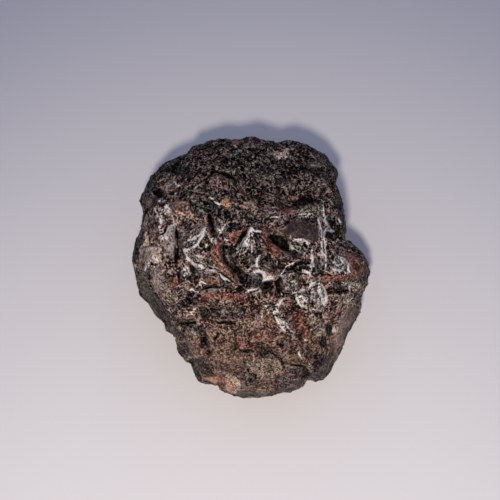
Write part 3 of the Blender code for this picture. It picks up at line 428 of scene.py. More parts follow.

# Natural faces and patches of the seen side, later ones over earlier ones: tone, smoothness, how far the
# face is lifted, and its corners. Black faces sunk below the surface are partly black rock and partly
# painted shade in pits, under ledges and along the shaded right rim
FACETS = (
    # Crown
    ("umber", 0.3, 0.0, ((-18.3, 17.9), (-15.8, 18.3), (-15.9, 16.4), (-18.0, 16.2))),
    ("black", 0.5, -0.3,
     ((-16.9, 19.9), (-14.4, 20.6), (-12.0, 19.7), (-12.1, 18.3), (-14.9, 18.6), (-16.9, 18.9))),
    ("black", 0.5, -1.0, ((-19.5, 15.3), (-18.2, 15.9), (-17.6, 15.0), (-17.7, 13.9), (-19.0, 14.0))),
    ("ink", 0.3, 0.0, ((-20.5, 15.1), (-20.0, 17.6), (-18.7, 17.2), (-18.8, 15.2))),
    ("liver", 0.2, 0.5,
     ((-7.9, 17.6), (-6.2, 18.4), (-4.2, 17.8), (-3.3, 16.7), (-4.3, 15.4), (-6.4, 15.1), (-7.8, 15.9))),
    ("drab", 0.0, 0.1, ((-4.7, 19.9), (-2.2, 20.0), (-1.5, 18.7), (-2.6, 18.0), (-4.4, 18.3))),
    ("liver", 0.2, 0.0, ((-5.9, 23.3), (-4.2, 23.4), (-4.3, 22.3), (-5.8, 21.9))),
    ("ochre", 0.1, 0.1, ((-3.9, 24.4), (-3.0, 23.9), (-2.0, 24.5), (-2.0, 25.1), (-2.9, 25.0))),
    ("umber", 0.1, 0.0, ((-1.0, 25.2), (2.4, 25.2), (3.2, 24.0), (0.8, 23.4), (-0.8, 23.8))),
    ("taupe", 0.1, 0.2, ((4.7, 23.2), (7.8, 23.3), (7.6, 21.8), (5.2, 21.5))),
    ("ink", 0.6, -0.1, ((4.9, 17.9), (8.2, 17.7), (8.2, 16.3), (4.9, 16.3))),
    ("pitch", 0.6, 0.0, ((1.9, 19.3), (4.8, 19.3), (4.8, 18.1), (1.9, 18.1))),
    ("drab", 0.4, 0.4, ((11.9, 20.9), (13.7, 21.4), (15.7, 21.0), (16.2, 20.2), (12.4, 19.9))),
    ("ink", 0.4, -0.4, ((11.2, 19.9), (14.7, 19.8), (16.6, 19.2), (15.9, 18.7), (11.6, 19.1))),
    ("black", 0.4, -0.5, ((13.5, 15.8), (15.1, 15.8), (15.0, 14.5), (13.9, 14.5))),
    ("liver", 0.3, 0.2, ((12.5, 15.3), (13.9, 14.9), (13.5, 13.8), (12.3, 13.8))),
    ("liver", 0.3, 0.1, ((15.1, 15.7), (16.9, 15.6), (16.8, 14.6), (15.3, 14.3))),
    # Upper belt
    # Painted shade in the hollow under the crown's overhang
    ("black", 0.5, -0.8,
     ((7.9, 12.3), (9.4, 13.2), (9.9, 14.3), (12.4, 14.6), (12.8, 13.3), (11.8, 12.5), (9.2, 11.8))),
    ("rust", 0.3, 0.6, ((8.0, 14.0), (9.6, 14.1), (9.7, 13.4), (8.2, 13.1))),
    ("ink", 0.0, -0.2,
     ((-12.2, 13.2), (-8.0, 13.2), (-5.9, 12.0), (-3.2, 11.5), (-2.2, 9.4), (-4.9, 8.8), (-7.8, 10.3),
      (-11.8, 10.6))),
    ("black", 0.3, -0.3, ((-14.9, 14.6), (-12.5, 14.7), (-12.7, 13.9), (-14.9, 13.8))),
    ("black", 0.2, -0.3, ((-12.1, 12.9), (-10.4, 13.1), (-10.2, 11.9), (-11.9, 11.3))),
    ("umber", 0.0, 0.0,
     ((-3.0, 11.2), (2.5, 10.2), (3.9, 9.8), (3.9, 8.8), (2.0, 8.4), (-0.2, 8.3), (-2.2, 9.0))),
    ("ink", 0.0, -0.1, ((-0.9, 9.7), (1.6, 9.7), (1.8, 8.7), (-0.8, 8.7))),
    ("ochre", 0.1, 0.5,
     ((-6.1, 13.2), (-5.2, 13.8), (-4.1, 13.8), (-3.8, 13.0), (-3.7, 11.9), (-4.9, 11.5), (-6.0, 12.1))),
    ("sienna", 0.0, 0.2, ((-2.1, 12.4), (-0.4, 12.2), (0.2, 11.7), (-0.6, 11.4), (-2.0, 11.8))),
    ("black", 0.2, -0.6, ((-8.3, 10.4), (-7.7, 10.2), (-7.0, 6.6), (-7.4, 6.4))),
    ("grey", 0.1, 0.3, ((-7.2, 10.0), (-5.6, 9.2), (-4.7, 7.2), (-6.2, 6.2), (-7.1, 7.4))),
    ("black", 0.0, -0.3, ((-5.0, 8.6), (-2.0, 8.7), (-1.3, 7.5), (-4.5, 7.0))),
    ("brick", 0.4, 0.3,
     ((-4.3, 6.7), (-3.8, 7.0), (-1.6, 7.3), (-1.5, 6.7), (-2.7, 5.2), (-3.0, 4.4), (-4.2, 4.9),
      (-4.5, 5.7))),
    ("black", 0.5, -1.2,
     ((-1.5, 7.0), (-0.3, 7.6), (-0.6, 6.2), (-2.0, 3.9), (-3.4, 2.7), (-4.3, 2.6), (-2.6, 5.2))),
    ("grey", 0.2, 0.3,
     ((0.5, 8.0), (-0.4, 6.6), (-1.2, 4.8), (-3.3, 2.1), (-1.5, 2.6), (0.4, 3.8), (0.9, 5.6))),
    ("umber", 0.2, 0.0, ((0.8, 7.7), (2.0, 7.1), (2.5, 5.0), (2.0, 2.6), (1.3, 3.0), (0.8, 5.6))),
    ("plum", 0.2, -0.1, ((-1.3, 3.0), (0.4, 3.8), (1.8, 2.4), (1.2, 1.4), (-0.6, 1.6))),
    ("rust", 0.3, 0.3,
     ((1.9, 8.1), (3.3, 8.0), (3.1, 6.8), (4.1, 4.9), (6.4, 3.3), (6.2, 1.9), (4.2, 2.3), (3.5, 3.8),
      (2.3, 5.6), (2.0, 7.0))),
    ("black", 0.5, -1.4,
     ((3.9, 6.5), (5.0, 6.3), (6.2, 6.4), (7.4, 5.2), (8.0, 4.0), (8.1, 2.8), (6.4, 3.4), (4.4, 4.9))),
    ("plum", 0.2, 0.0, ((6.2, 11.0), (8.2, 10.6), (8.2, 8.8), (6.4, 7.8), (5.4, 8.2))),
    ("drab", 0.4, 0.3,
     ((8.0, 11.3), (10.0, 11.9), (12.6, 12.5), (13.6, 12.9), (14.6, 12.2), (14.7, 10.8), (12.0, 10.6),
      (9.0, 10.3))),
    ("brick", 0.3, 0.2, ((6.0, 11.4), (8.3, 11.6), (8.4, 10.4), (7.2, 9.9), (6.5, 10.6))),
    ("plum", 0.1, 0.0, ((11.8, 5.4), (13.9, 5.4), (13.8, 3.4), (12.0, 3.9))),
    ("slab", 1.0, 0.2,
     ((6.4, 7.3), (8.2, 9.2), (9.2, 9.5), (10.6, 9.3), (12.4, 8.6), (13.6, 7.3), (13.9, 6.1),
      (13.4, 5.2), (11.0, 5.6), (8.6, 6.1))),
    # Painted shadow under the plate's rim
    ("black", 0.6, -0.6, ((10.0, 9.9), (13.5, 9.9), (13.5, 8.9), (11.6, 8.9))),
    ("ink", 0.2, -0.2, ((15.4, 10.1), (17.2, 10.3), (17.9, 8.5), (16.2, 8.0), (15.5, 8.3))),
    ("black", 0.5, -1.4,
     ((15.0, 6.9), (16.3, 7.0), (17.8, 8.4), (17.9, 6.2), (17.0, 5.0), (15.9, 5.6), (15.0, 6.0))),
    ("black", 0.7, 0.0, ((17.5, 13.4), (18.3, 12.6), (18.9, 9.8), (18.5, 6.6), (18.0, 8.6), (17.3, 10.8))),
    ("grey", 0.1, 0.2, ((13.9, 10.2), (15.2, 10.2), (15.3, 8.9), (14.0, 8.9))),
    # Left side
    ("plum", 0.7, 0.2, ((-21.7, 14.2), (-18.8, 14.2), (-18.4, 12.7), (-19.9, 11.6), (-21.4, 12.4))),
    ("liver", 0.7, 0.1, ((-20.8, 14.0), (-19.8, 14.1), (-19.7, 12.6), (-20.5, 12.4))),
    ("liver", 0.5, 0.4, ((-16.0, 13.1), (-12.2, 13.1), (-12.0, 11.7), (-12.4, 10.7), (-15.9, 11.3))),
    ("khaki", 0.3, 0.2,
     ((-15.9, 11.3), (-12.4, 10.7), (-13.6, 9.8), (-14.4, 8.3), (-15.0, 8.3), (-15.6, 9.5))),
    ("umber", 0.3, 0.0,
     ((-20.9, 11.6), (-18.9, 11.2), (-18.3, 7.0), (-18.6, 4.2), (-19.8, 4.2), (-20.1, 7.0),
      (-21.0, 8.6))),
    ("liver", 0.4, -0.3, ((-19.9, 6.9), (-18.4, 6.8), (-17.9, 4.1), (-18.6, 3.9), (-19.6, 4.6))),
    ("beige", 0.6, 0.2, ((-20.9, 6.7), (-20.3, 7.2), (-20.0, 4.6), (-20.2, 3.6), (-20.8, 4.4), (-21.0, 5.6))),
    ("clay", 0.72, 0.0,
     ((-21.8, 3.7), (-17.7, 3.9), (-17.6, 1.4), (-19.7, 0.6), (-20.8, -0.8), (-22.4, -0.6),
      (-22.4, 1.4))),
    ("black", 0.7, -0.2,
     ((-21.4, 7.0), (-20.9, 6.2), (-21.4, 5.0), (-22.2, 3.2), (-22.5, 0.9), (-23.4, 1.2), (-22.9, 4.3))),
    ("grey", 0.6, 0.9, ((-16.6, 8.0), (-15.1, 8.1), (-15.0, 3.4), (-15.2, 1.2), (-17.2, 2.8), (-17.3, 5.2))),
    ("black", 0.5, -1.0, ((-14.9, 8.0), (-14.4, 7.8), (-14.3, 3.0), (-14.5, 0.6), (-14.9, 0.6))),
    ("plum", 0.3, 0.0, ((-14.4, 8.3), (-12.4, 9.8), (-11.7, 6.4), (-13.6, 4.5), (-14.3, 4.5))),
    ("umber", 0.1, 0.0, ((-17.6, 3.1), (-16.1, 3.1), (-16.1, 1.7), (-17.7, 1.5))),
    ("black", 0.3, -0.3, ((-21.6, 0.6), (-20.9, 0.6), (-20.9, -0.1), (-21.6, 0.0))),
    ("black", 0.3, -0.4, ((-19.7, 1.2), (-18.9, 1.3), (-18.8, 0.6), (-19.5, 0.5))),
    # Left star
    ("black", 0.0, -0.4, ((-12.7, 5.3), (-10.8, 6.0), (-9.6, 6.4), (-10.6, 4.6), (-12.6, 4.0))),
    ("umber", 0.1, -0.2,
     ((-12.0, 3.3), (-9.8, 5.4), (-8.6, 6.6), (-7.8, 4.6), (-8.0, 2.4), (-10.0, 2.4), (-12.0, 2.6))),
    ("drab", 0.2, 0.2, ((-11.7, 1.9), (-8.0, 2.3), (-7.2, 0.2), (-7.2, -0.6), (-9.6, 0.2), (-11.4, 1.3))),
    ("black", 0.3, -0.7, ((-12.0, 0.8), (-11.5, 0.9), (-10.3, -1.5), (-10.9, -1.9), (-11.9, -0.4))),
    ("grey", 0.2, 0.2, ((-11.2, 0.7), (-9.4, -0.3), (-8.0, -0.8), (-7.6, -1.8), (-9.4, -1.6), (-10.5, -0.8))),
    ("rust", 0.3, 0.2, ((-6.7, 5.2), (-5.9, 4.9), (-5.9, 3.0), (-6.0, 1.2), (-7.4, 1.4), (-7.7, 3.3))),
    ("sienna", 0.4, 0.5,
     ((-7.6, 2.4), (-5.9, 2.2), (-5.3, 0.6), (-3.8, -0.2), (-2.2, -1.9), (-2.3, -3.0), (-3.8, -2.6),
      (-6.0, -0.9), (-7.2, -0.2))),
    ("umber", 0.2, -0.5,
     ((-5.7, 2.4), (-4.4, 3.0), (-3.0, 1.6), (-2.2, 0.2), (-1.6, -1.8), (-2.1, -2.2), (-3.6, -0.2),
      (-5.1, 0.8))),
    ("ink", 0.2, -0.2, ((-4.6, 4.6), (-3.2, 4.2), (-2.8, 2.6), (-4.4, 2.6), (-5.7, 3.0))),
    ("liver", 0.1, 0.0, ((-12.6, -2.5), (-9.6, -2.0), (-8.2, -1.9), (-9.9, -3.8), (-13.0, -3.6))),
    ("rust", 0.3, 0.2, ((-8.2, -1.8), (-6.6, -2.0), (-6.2, -3.0), (-7.0, -3.9), (-8.4, -3.6))),
    ("pitch", 0.3, 0.0, ((-6.2, -2.0), (-5.0, -2.1), (-3.6, -3.1), (-4.0, -4.0), (-5.6, -3.6))),
    ("taupe", 0.6, 0.3, ((-8.2, -4.4), (-6.4, -4.2), (-5.9, -4.8), (-7.2, -5.4), (-8.2, -5.2))),
    ("olive", 0.0, 0.0, ((-8.2, -6.3), (-5.0, -6.6), (-1.6, -7.1), (-0.8, -8.0), (-4.0, -7.7), (-8.2, -7.5))),
    ("brick", 0.3, 0.3,
     ((-8.4, -5.3), (-6.0, -5.2), (-3.6, -5.1), (-1.8, -5.7), (-0.2, -6.3), (-0.6, -7.4), (-2.2, -6.8),
      (-5.0, -6.5), (-8.4, -6.2))),
    ("brick", 0.5, 0.3, ((-10.5, -6.3), (-8.4, -5.0), (-8.0, -6.4), (-9.4, -7.2), (-10.4, -7.0))),
    ("umber", 0.35, 0.05,
     ((-7.4, -7.9), (-1.4, -7.9), (-0.8, -8.6), (-1.2, -10.2), (-5.6, -10.6), (-8.0, -9.6))),
    # Dome and the middle
    ("umber", 0.0, 0.0, ((2.6, 2.1), (5.0, 1.6), (6.6, -1.2), (4.8, -1.6), (3.2, -0.6), (2.0, 0.4))),
    ("ink", 0.2, -0.2, ((3.0, 1.8), (4.7, 1.8), (5.4, 0.4), (3.4, 0.3))),
    ("ink", 0.5, 0.5,
     ((-0.9, -1.7), (0.4, -1.2), (1.8, -1.3), (2.6, -2.2), (2.4, -3.6), (1.0, -4.1), (-1.2, -3.6))),
    ("beige", 0.3, 0.5, ((2.9, -1.8), (4.8, -1.8), (4.9, -2.4), (2.8, -2.7))),
    ("black", 0.5, -1.2, ((2.7, -3.0), (4.4, -3.0), (4.6, -3.6), (3.2, -4.4), (2.6, -4.2))),
    ("liver", 0.1, 0.2,
     ((4.2, -3.4), (5.0, -3.2), (5.4, -4.8), (5.9, -6.2), (5.4, -7.2), (3.6, -7.2), (2.4, -6.4),
      (2.6, -5.2), (3.6, -4.4))),
    ("black", 0.5, -1.2, ((4.9, -2.9), (5.9, -2.5), (6.1, -4.4), (6.0, -5.6), (5.4, -4.8))),
    ("grey", 0.2, 0.5,
     ((6.1, -1.9), (8.0, -0.8), (9.2, -1.6), (9.5, -3.6), (8.2, -4.8), (6.5, -4.8), (6.1, -3.4))),
    ("black", 0.3, -0.4, ((6.4, -5.0), (8.2, -5.2), (9.0, -5.6), (8.9, -6.8), (7.6, -6.0), (6.4, -6.0))),
    ("liver", 0.1, 0.0, ((6.4, -6.2), (8.9, -6.9), (9.6, -8.0), (8.4, -8.8), (6.6, -7.4))),
    ("liver", 0.1, 0.1, ((5.1, 2.3), (9.5, 3.0), (10.8, 2.0), (8.6, 1.1), (6.4, 1.2))),
    ("black", 0.1, -0.3, ((8.0, 1.1), (11.0, 1.3), (12.0, 0.4), (11.2, -0.8), (9.8, -1.6), (8.2, -0.8))),
    ("ink", 0.1, -0.2, ((12.4, -0.2), (13.4, 1.6), (14.9, 1.6), (15.0, -1.0), (13.0, -2.0), (12.4, -1.4))),
    # Shoulder
    ("umber", 0.1, 0.0,
     ((15.8, 4.4), (18.2, 5.0), (21.0, 3.3), (23.0, 2.0), (21.4, 1.2), (18.8, 1.8), (17.0, 2.8))),
    ("ash", 0.1, 0.2, ((16.6, 1.7), (17.6, 2.3), (18.8, 1.8), (19.1, 0.3), (16.6, 0.1))),
    ("grey", 0.1, 0.0, ((16.0, -0.1), (19.2, 0.2), (19.4, -1.0), (16.0, -1.2))),
    ("liver", 0.2, 0.3,
     ((19.8, 1.6), (22.0, 1.2), (23.4, -0.4), (22.9, -1.6), (20.4, -2.8), (18.0, -2.9), (15.8, -2.2),
      (18.0, -1.5), (19.9, -1.2))),
    ("rust", 0.4, 0.0,
     ((11.2, -2.4), (13.2, -1.9), (16.0, -1.5), (19.6, -1.7), (19.4, -2.9), (15.8, -3.0), (12.6, -3.0))),
    ("rust", 0.4, 0.0,
     ((18.6, 3.0), (20.4, 2.6), (22.9, 0.6), (23.2, -1.4), (21.6, -2.3), (19.2, -2.6), (20.0, -1.0))),
    ("drab", 0.1, 0.0,
     ((10.2, -2.4), (14.0, -2.3), (15.6, -2.8), (15.2, -4.0), (14.3, -3.6), (12.6, -3.0), (10.4, -3.7))),
    ("rust", 0.2, 0.0, ((14.3, -2.6), (15.8, -2.7), (15.5, -3.8), (14.6, -3.8))),
    ("umber", 0.0, 0.0, ((16.0, -2.7), (18.8, -3.0), (18.4, -4.5), (16.2, -4.8))),
    ("drab", 0.4, 0.0, ((21.8, -1.8), (23.4, -1.6), (22.8, -3.4), (21.4, -3.1))),
    ("beige", 0.2, 0.0, ((19.4, -3.9), (21.2, -3.1), (22.7, -3.9), (22.0, -4.9), (20.0, -4.7))),
    ("black", 0.4, -0.9, ((16.0, -4.9), (18.4, -4.8), (19.5, -4.0), (18.9, -5.0), (16.0, -5.2))),
    ("umber", 0.3, 0.0, ((20.8, -4.9), (22.4, -4.9), (22.0, -6.1), (20.9, -5.9))),
    ("olive", 0.2, 0.0, ((16.4, -5.8), (20.8, -5.6), (21.5, -7.4), (21.0, -9.0), (19.4, -8.6), (17.0, -7.9))),
    ("liver", 0.0, 0.0, ((15.8, -8.0), (19.0, -8.0), (19.2, -10.4), (18.2, -11.2), (16.0, -10.8))),
    ("taupe", 0.8, 0.2,
     ((19.3, -8.2), (21.5, -7.8), (21.0, -10.8), (18.6, -16.8), (16.4, -21.4), (15.2, -22.0),
      (15.6, -18.4), (16.8, -14.6), (17.2, -11.4))),
    # Painted shade along the far right rim, on its shaded side
    ("black", 0.9, 0.0,
     ((22.3, -7.0), (22.4, -8.6), (21.5, -10.9), (19.8, -13.7), (18.4, -17.0), (17.9, -16.6),
      (19.0, -13.8), (20.7, -10.6), (21.5, -8.4))),
    ("liver", 0.5, -0.1, ((16.1, -14.4), (17.0, -14.6), (16.5, -18.0), (15.9, -20.0), (15.6, -18.0))),
    # Nodules
    ("grey", 0.1, 0.2,
     ((12.2, -3.8), (13.8, -3.6), (14.6, -5.0), (15.2, -7.6), (14.4, -9.0), (12.6, -8.2), (12.2, -6.0))),
    ("black", 0.2, -0.3, ((10.2, -4.6), (11.8, -4.6), (12.2, -6.4), (11.6, -6.6), (10.6, -5.7))),
    ("beige", 0.1, 0.3, ((10.1, -5.8), (11.3, -5.8), (11.4, -7.0), (10.3, -7.2))),
    ("rust", 0.3, 0.1,
     ((8.2, -8.7), (10.4, -8.6), (11.4, -10.2), (12.0, -13.6), (12.5, -15.6), (11.0, -15.4),
      (10.0, -13.2), (8.4, -12.0))),
    ("olive", 0.1, 0.1, ((11.5, -9.6), (12.4, -9.9), (12.4, -12.6), (11.6, -12.6))),
    ("black", 0.1, -0.3, ((12.7, -8.9), (14.4, -9.1), (14.8, -10.7), (13.0, -10.1))),
    ("olive", 0.0, 0.0, ((12.9, -10.6), (15.2, -10.9), (15.2, -13.6), (13.3, -13.7))),
    ("black", 0.0, -0.3, ((15.2, -11.0), (16.7, -10.9), (16.6, -13.9), (15.4, -14.0))),
    ("beige", 0.4, 0.2, ((16.7, -11.4), (17.6, -11.4), (17.6, -13.1), (16.5, -13.0))),
    ("black", 0.1, -0.2, ((13.6, -13.6), (15.2, -14.2), (15.0, -16.4), (13.9, -15.8))),
    # Lower right
    ("liver", 0.3, 0.0,
     ((8.2, -13.0), (10.2, -13.2), (10.4, -15.0), (12.6, -16.8), (11.8, -18.4), (9.6, -17.0),
      (8.2, -15.4))),
    ("plum", 0.5, 0.0,
     ((12.4, -17.6), (14.6, -17.0), (15.6, -18.6), (15.5, -20.4), (15.0, -21.6), (13.0, -22.9),
      (12.2, -21.0))),
    ("ink", 0.4, 0.0, ((12.8, -20.8), (14.8, -20.6), (14.8, -21.6), (13.2, -22.4))),
    ("umber", 0.0, 0.0, ((8.0, -20.0), (11.6, -20.6), (11.2, -22.2), (8.2, -22.1))),
    ("plum", 0.6, 0.2, ((6.2, -22.8), (10.0, -22.3), (10.3, -23.0), (9.4, -24.6), (7.0, -24.9))),
    ("black", 0.4, -1.0, ((11.2, -21.0), (12.0, -21.0), (11.6, -22.6))),
    # Lower star
    ("umber", 0.1, 0.0, ((6.2, -7.6), (8.2, -8.6), (8.6, -12.2), (7.6, -11.6))),
    ("sienna", 0.3, 0.1, ((2.9, -8.8), (4.3, -9.0), (5.0, -11.2), (4.2, -12.0), (2.6, -11.2))),
    ("liver", 0.0, 0.0, ((-0.8, -7.4), (1.9, -7.9), (1.9, -9.4), (0.6, -10.8), (-0.9, -9.6))),
    ("umber", 0.2, -0.1, ((5.9, -9.2), (6.6, -9.8), (9.0, -13.4), (8.2, -13.8), (6.6, -11.6))),
    # Lower face
    ("khaki", 0.0, 0.1,
     ((-1.0, -18.7), (3.0, -18.2), (6.0, -18.6), (6.7, -20.4), (4.4, -22.2), (1.4, -21.3),
      (-0.8, -20.6))),
    ("brick", 0.3, 0.2,
     ((-3.2, -14.2), (-2.0, -13.7), (-1.2, -14.9), (0.4, -15.5), (1.9, -16.6), (0.2, -16.3),
      (-2.0, -16.1), (-3.0, -15.2))),
    ("black", 0.2, -0.6, ((-2.3, -16.2), (0.4, -16.5), (1.0, -16.9), (-0.4, -17.2), (-2.2, -16.8))),
    ("sienna", 0.1, 0.2,
     ((1.2, -13.3), (2.4, -12.6), (5.8, -12.5), (6.4, -13.8), (5.4, -14.3), (2.4, -14.9), (0.4, -14.7),
      (0.5, -13.9))),
    ("brick", 0.3, 0.0, ((0.2, -14.0), (1.8, -13.6), (1.8, -14.9), (0.6, -14.8))),
    ("umber", 0.3, -0.4,
     ((5.2, -14.6), (6.0, -14.2), (7.6, -14.3), (7.8, -15.4), (6.2, -16.1), (5.2, -15.7))),
    ("plum", 0.2, -0.1, ((2.0, -16.3), (4.4, -16.6), (5.6, -18.0), (2.0, -18.2))),
    ("black", 0.2, -0.4, ((4.0, -17.0), (6.3, -18.0), (7.4, -20.2), (6.8, -19.8), (5.6, -18.4))),
    ("liver", 0.5, 0.0, ((-6.3, -18.8), (-3.6, -18.7), (-2.8, -20.3), (-4.2, -20.8), (-6.0, -20.6))),
    ("umber", 0.4, 0.0, ((-2.8, -20.9), (0.8, -21.3), (1.3, -23.4), (-1.4, -23.9), (-2.4, -22.2))),
    ("plum", 0.2, 0.0, ((4.9, -21.3), (8.0, -21.2), (8.0, -24.2), (5.0, -24.3))),
    ("rust", 0.4, 0.0, ((-7.6, -21.5), (-5.0, -21.5), (-4.9, -23.8), (-5.8, -23.8), (-6.2, -22.4))),
    ("beige", 0.7, 0.2,
     ((-4.7, -21.3), (-3.2, -21.7), (-1.8, -22.8), (-1.8, -24.4), (-3.4, -24.9), (-4.9, -24.3),
      (-4.9, -22.8))),
    ("tan", 0.5, 0.1, ((-4.8, -22.8), (-3.2, -22.6), (-2.8, -24.2), (-4.4, -24.4))),
    ("tan", 0.9, 0.3,
     ((-9.9, -22.3), (-8.0, -21.9), (-6.0, -22.3), (-6.1, -23.3), (-8.0, -23.3), (-9.9, -23.1))),
    ("drab", 0.8, 0.0,
     ((-4.2, -24.9), (0.4, -24.4), (4.4, -24.6), (6.2, -24.2), (6.4, -25.3), (2.8, -25.9), (0.0, -26.3),
      (-3.0, -25.8))),
    ("black", 0.4, -0.6, ((-8.6, -19.2), (-7.3, -19.4), (-7.5, -20.3), (-8.7, -20.2))),
    # Lower left
    ("drab", 0.7, 0.0,
     ((-22.4, -1.0), (-20.4, -0.8), (-20.3, -4.0), (-18.8, -5.7), (-16.2, -8.3), (-16.0, -10.8),
      (-17.2, -11.2), (-19.9, -7.4), (-21.9, -4.8))),
    ("plum", 0.7, 0.0, ((-19.6, -6.0), (-16.4, -8.4), (-16.0, -10.8), (-17.2, -11.2), (-19.8, -7.6))),
    ("black", 0.8, 0.0,
     ((-22.8, -0.4), (-22.3, -0.6), (-22.2, -3.6), (-21.2, -5.6), (-18.4, -8.8), (-17.2, -10.8),
      (-17.4, -11.3), (-20.1, -7.6), (-22.1, -5.0), (-22.9, -2.6))),
    ("taupe", 0.62, 0.1,
     ((-19.9, 0.0), (-16.6, 0.3), (-16.8, -2.0), (-17.2, -4.2), (-18.6, -4.9), (-19.8, -3.2))),
    ("black", 0.3, -0.5,
     ((-20.5, -0.6), (-20.0, -0.6), (-19.9, -3.4), (-18.2, -5.6), (-16.4, -7.4), (-16.8, -7.9),
      (-18.6, -6.0), (-20.2, -4.0))),
    ("plum", 0.2, 0.0, ((-16.7, -0.8), (-15.3, -0.2), (-15.0, -1.4), (-15.6, -2.6), (-16.9, -2.4))),
    ("rust", 0.4, 0.1,
     ((-16.1, -2.6), (-15.3, -2.0), (-14.3, -2.2), (-14.2, -3.3), (-15.2, -3.8), (-16.3, -3.3))),
    ("ink", 0.3, 0.0, ((-14.0, -0.2), (-12.8, -1.0), (-12.0, -2.2), (-12.6, -2.9), (-14.0, -3.0))),
    ("clay", 0.5, 0.1,
     ((-18.2, -4.7), (-15.6, -4.2), (-14.4, -4.8), (-14.3, -6.0), (-15.4, -6.7), (-16.6, -6.9))),
    ("plum", 0.2, 0.0, ((-14.1, -5.0), (-10.4, -5.3), (-10.2, -7.0), (-14.1, -7.3))),
    ("grey", 0.3, 0.2, ((-11.7, -4.2), (-8.6, -4.3), (-9.6, -5.6), (-11.0, -5.0))),
    ("plum", 0.4, 0.1, ((-16.0, -7.4), (-11.0, -7.3), (-10.3, -7.9), (-14.8, -8.3))),
    ("clay", 0.1, 0.2, ((-14.2, -8.1), (-12.4, -7.9), (-10.6, -8.0), (-11.3, -9.8), (-14.0, -9.7))),
    ("liver", 0.1, 0.1, ((-15.8, -9.9), (-11.2, -9.8), (-10.8, -10.9), (-15.6, -10.9))),
    ("black", 0.2, -0.5, ((-15.2, -8.4), (-14.4, -8.3), (-14.4, -9.3), (-15.2, -9.2))),
    ("black", 0.0, -0.4, ((-10.4, -7.6), (-8.4, -8.2), (-8.2, -10.6), (-9.0, -11.0), (-9.8, -9.4))),
    ("umber", 0.6, 0.1, ((-17.0, -11.2), (-14.6, -11.3), (-14.4, -13.3), (-16.4, -13.1))),
    ("black", 0.2, -0.4, ((-14.6, -11.0), (-10.6, -10.9), (-10.6, -11.4), (-14.4, -11.4))),
    ("ink", 0.0, 0.0, ((-13.4, -11.5), (-10.2, -11.4), (-9.8, -13.6), (-11.0, -13.2), (-12.2, -12.6))),
    ("olive", 0.4, 0.1, ((-12.9, -12.6), (-11.0, -13.0), (-10.6, -14.3), (-12.6, -14.7))),
    ("black", 0.3, -0.6, ((-13.6, -12.3), (-13.0, -12.3), (-13.2, -14.6), (-13.8, -14.6))),
    ("umber", 0.4, -1.2, ((-14.1, -15.1), (-12.6, -15.1), (-12.1, -16.3), (-12.1, -17.5), (-14.1, -17.3))),
    ("sienna", 0.3, 0.3,
     ((-12.0, -14.7), (-10.5, -14.5), (-10.2, -15.8), (-10.2, -17.1), (-11.2, -16.9), (-12.0, -15.8))),
    ("clay", 0.4, 0.3, ((-14.1, -17.6), (-11.0, -17.8), (-9.8, -17.5), (-10.0, -18.2), (-12.8, -18.5))),
    ("black", 0.0, -0.5, ((-10.0, -14.0), (-8.9, -14.0), (-8.2, -16.8), (-9.4, -16.4))),
    ("umber", 0.1, 0.0, ((-12.2, -18.3), (-8.0, -18.5), (-7.4, -21.4), (-10.8, -21.7), (-11.6, -20.0))),
    ("plum", 0.5, 0.1, ((-11.2, -21.2), (-9.8, -21.6), (-9.6, -22.7), (-10.6, -22.8))),
)

# Dark cracks, sunk and painted black as the shade in them: points and half width
CRACKS = (
    (((-14.1, 0.0), (-14.1, -3.2)), 0.12),
    (((-9.4, -4.4), (-7.6, -4.0), (-6.2, -4.0)), 0.15),
    (((-7.6, 18.6), (-4.8, 18.6), (-3.2, 17.4), (-2.9, 16.4)), 0.25),
    (((-2.2, 17.2), (-2.2, 15.8), (-1.9, 14.8)), 0.16),
    (((-8.0, -0.4), (-6.6, -0.6), (-5.2, -1.6), (-3.4, -2.9)), 0.16),
    (((0.7, -21.2), (1.0, -21.6), (1.1, -22.3)), 0.15),
    (((14.75, 5.6), (14.9, 3.2)), 0.16),
    (((15.3, 6.0), (15.6, 4.0)), 0.14),
    (((14.2, -1.7), (15.2, -1.6), (16.2, -1.8)), 0.16),
    (((-2.0, -12.1), (-3.0, -12.8)), 0.16),
    (((-6.4, -13.2), (-7.1, -14.2)), 0.18),
    (((-11.0, -10.4), (-15.0, -10.5)), 0.12),
    (((10.2, 4.4), (10.8, 4.3), (10.9, 3.6)), 0.35),
    (((9.0, 4.6), (9.6, 4.5)), 0.30),
    (((15.9, 1.8), (16.3, 0.4)), 0.22),
    (((17.2, -0.3), (19.2, -0.5)), 0.14),
    (((-13.3, 15.5), (-11.6, 14.7), (-10.0, 14.6)), 0.20),
    (((-5.2, 4.8), (-5.3, 3.2)), 0.14),
    (((2.1, 6.0), (2.9, 5.2)), 0.18),
    (((13.4, -4.4), (13.2, -7.4)), 0.14),
    (((8.1, -19.4), (11.0, -19.9), (11.6, -20.3)), 0.18),
    (((18.2, 4.4), (19.8, 3.0), (21.6, 2.0)), 0.12),
    (((-0.4, -20.6), (-0.3, -20.9)), 0.22),
    (((-4.5, -10.9), (-6.4, -11.2)), 0.20),
)

# Crystal stars on the sides and back: azimuth, elevation, radius, arms, and how far each stands out
STARS = (
    (60.0, 5.0, 9.0, 5, 1.4),
    (118.0, 24.0, 8.0, 6, 1.3),
    (172.0, 8.0, 10.0, 5, 1.5),
    (228.0, -6.0, 8.0, 6, 1.2),
    (300.0, -14.0, 9.0, 5, 1.3),
    (20.0, -22.0, 8.0, 5, 1.2),
    (90.0, -24.0, 9.0, 6, 1.2),
    (200.0, -30.0, 8.0, 5, 1.1),
)
STAR_ARM_SPREAD = 0.34

# Druse of blocky crystals all round: spacing of the crystals, how far they stand out, seed, and the share
# of that height that the seen side has
DRUSES = (
    (8.5, 3.6, 21, 0.22),
    (3.4, 1.2, 41, 0.35),
    (1.7, 0.45, 61, 0.80),
    (0.85, 0.26, 81, 1.0),
)

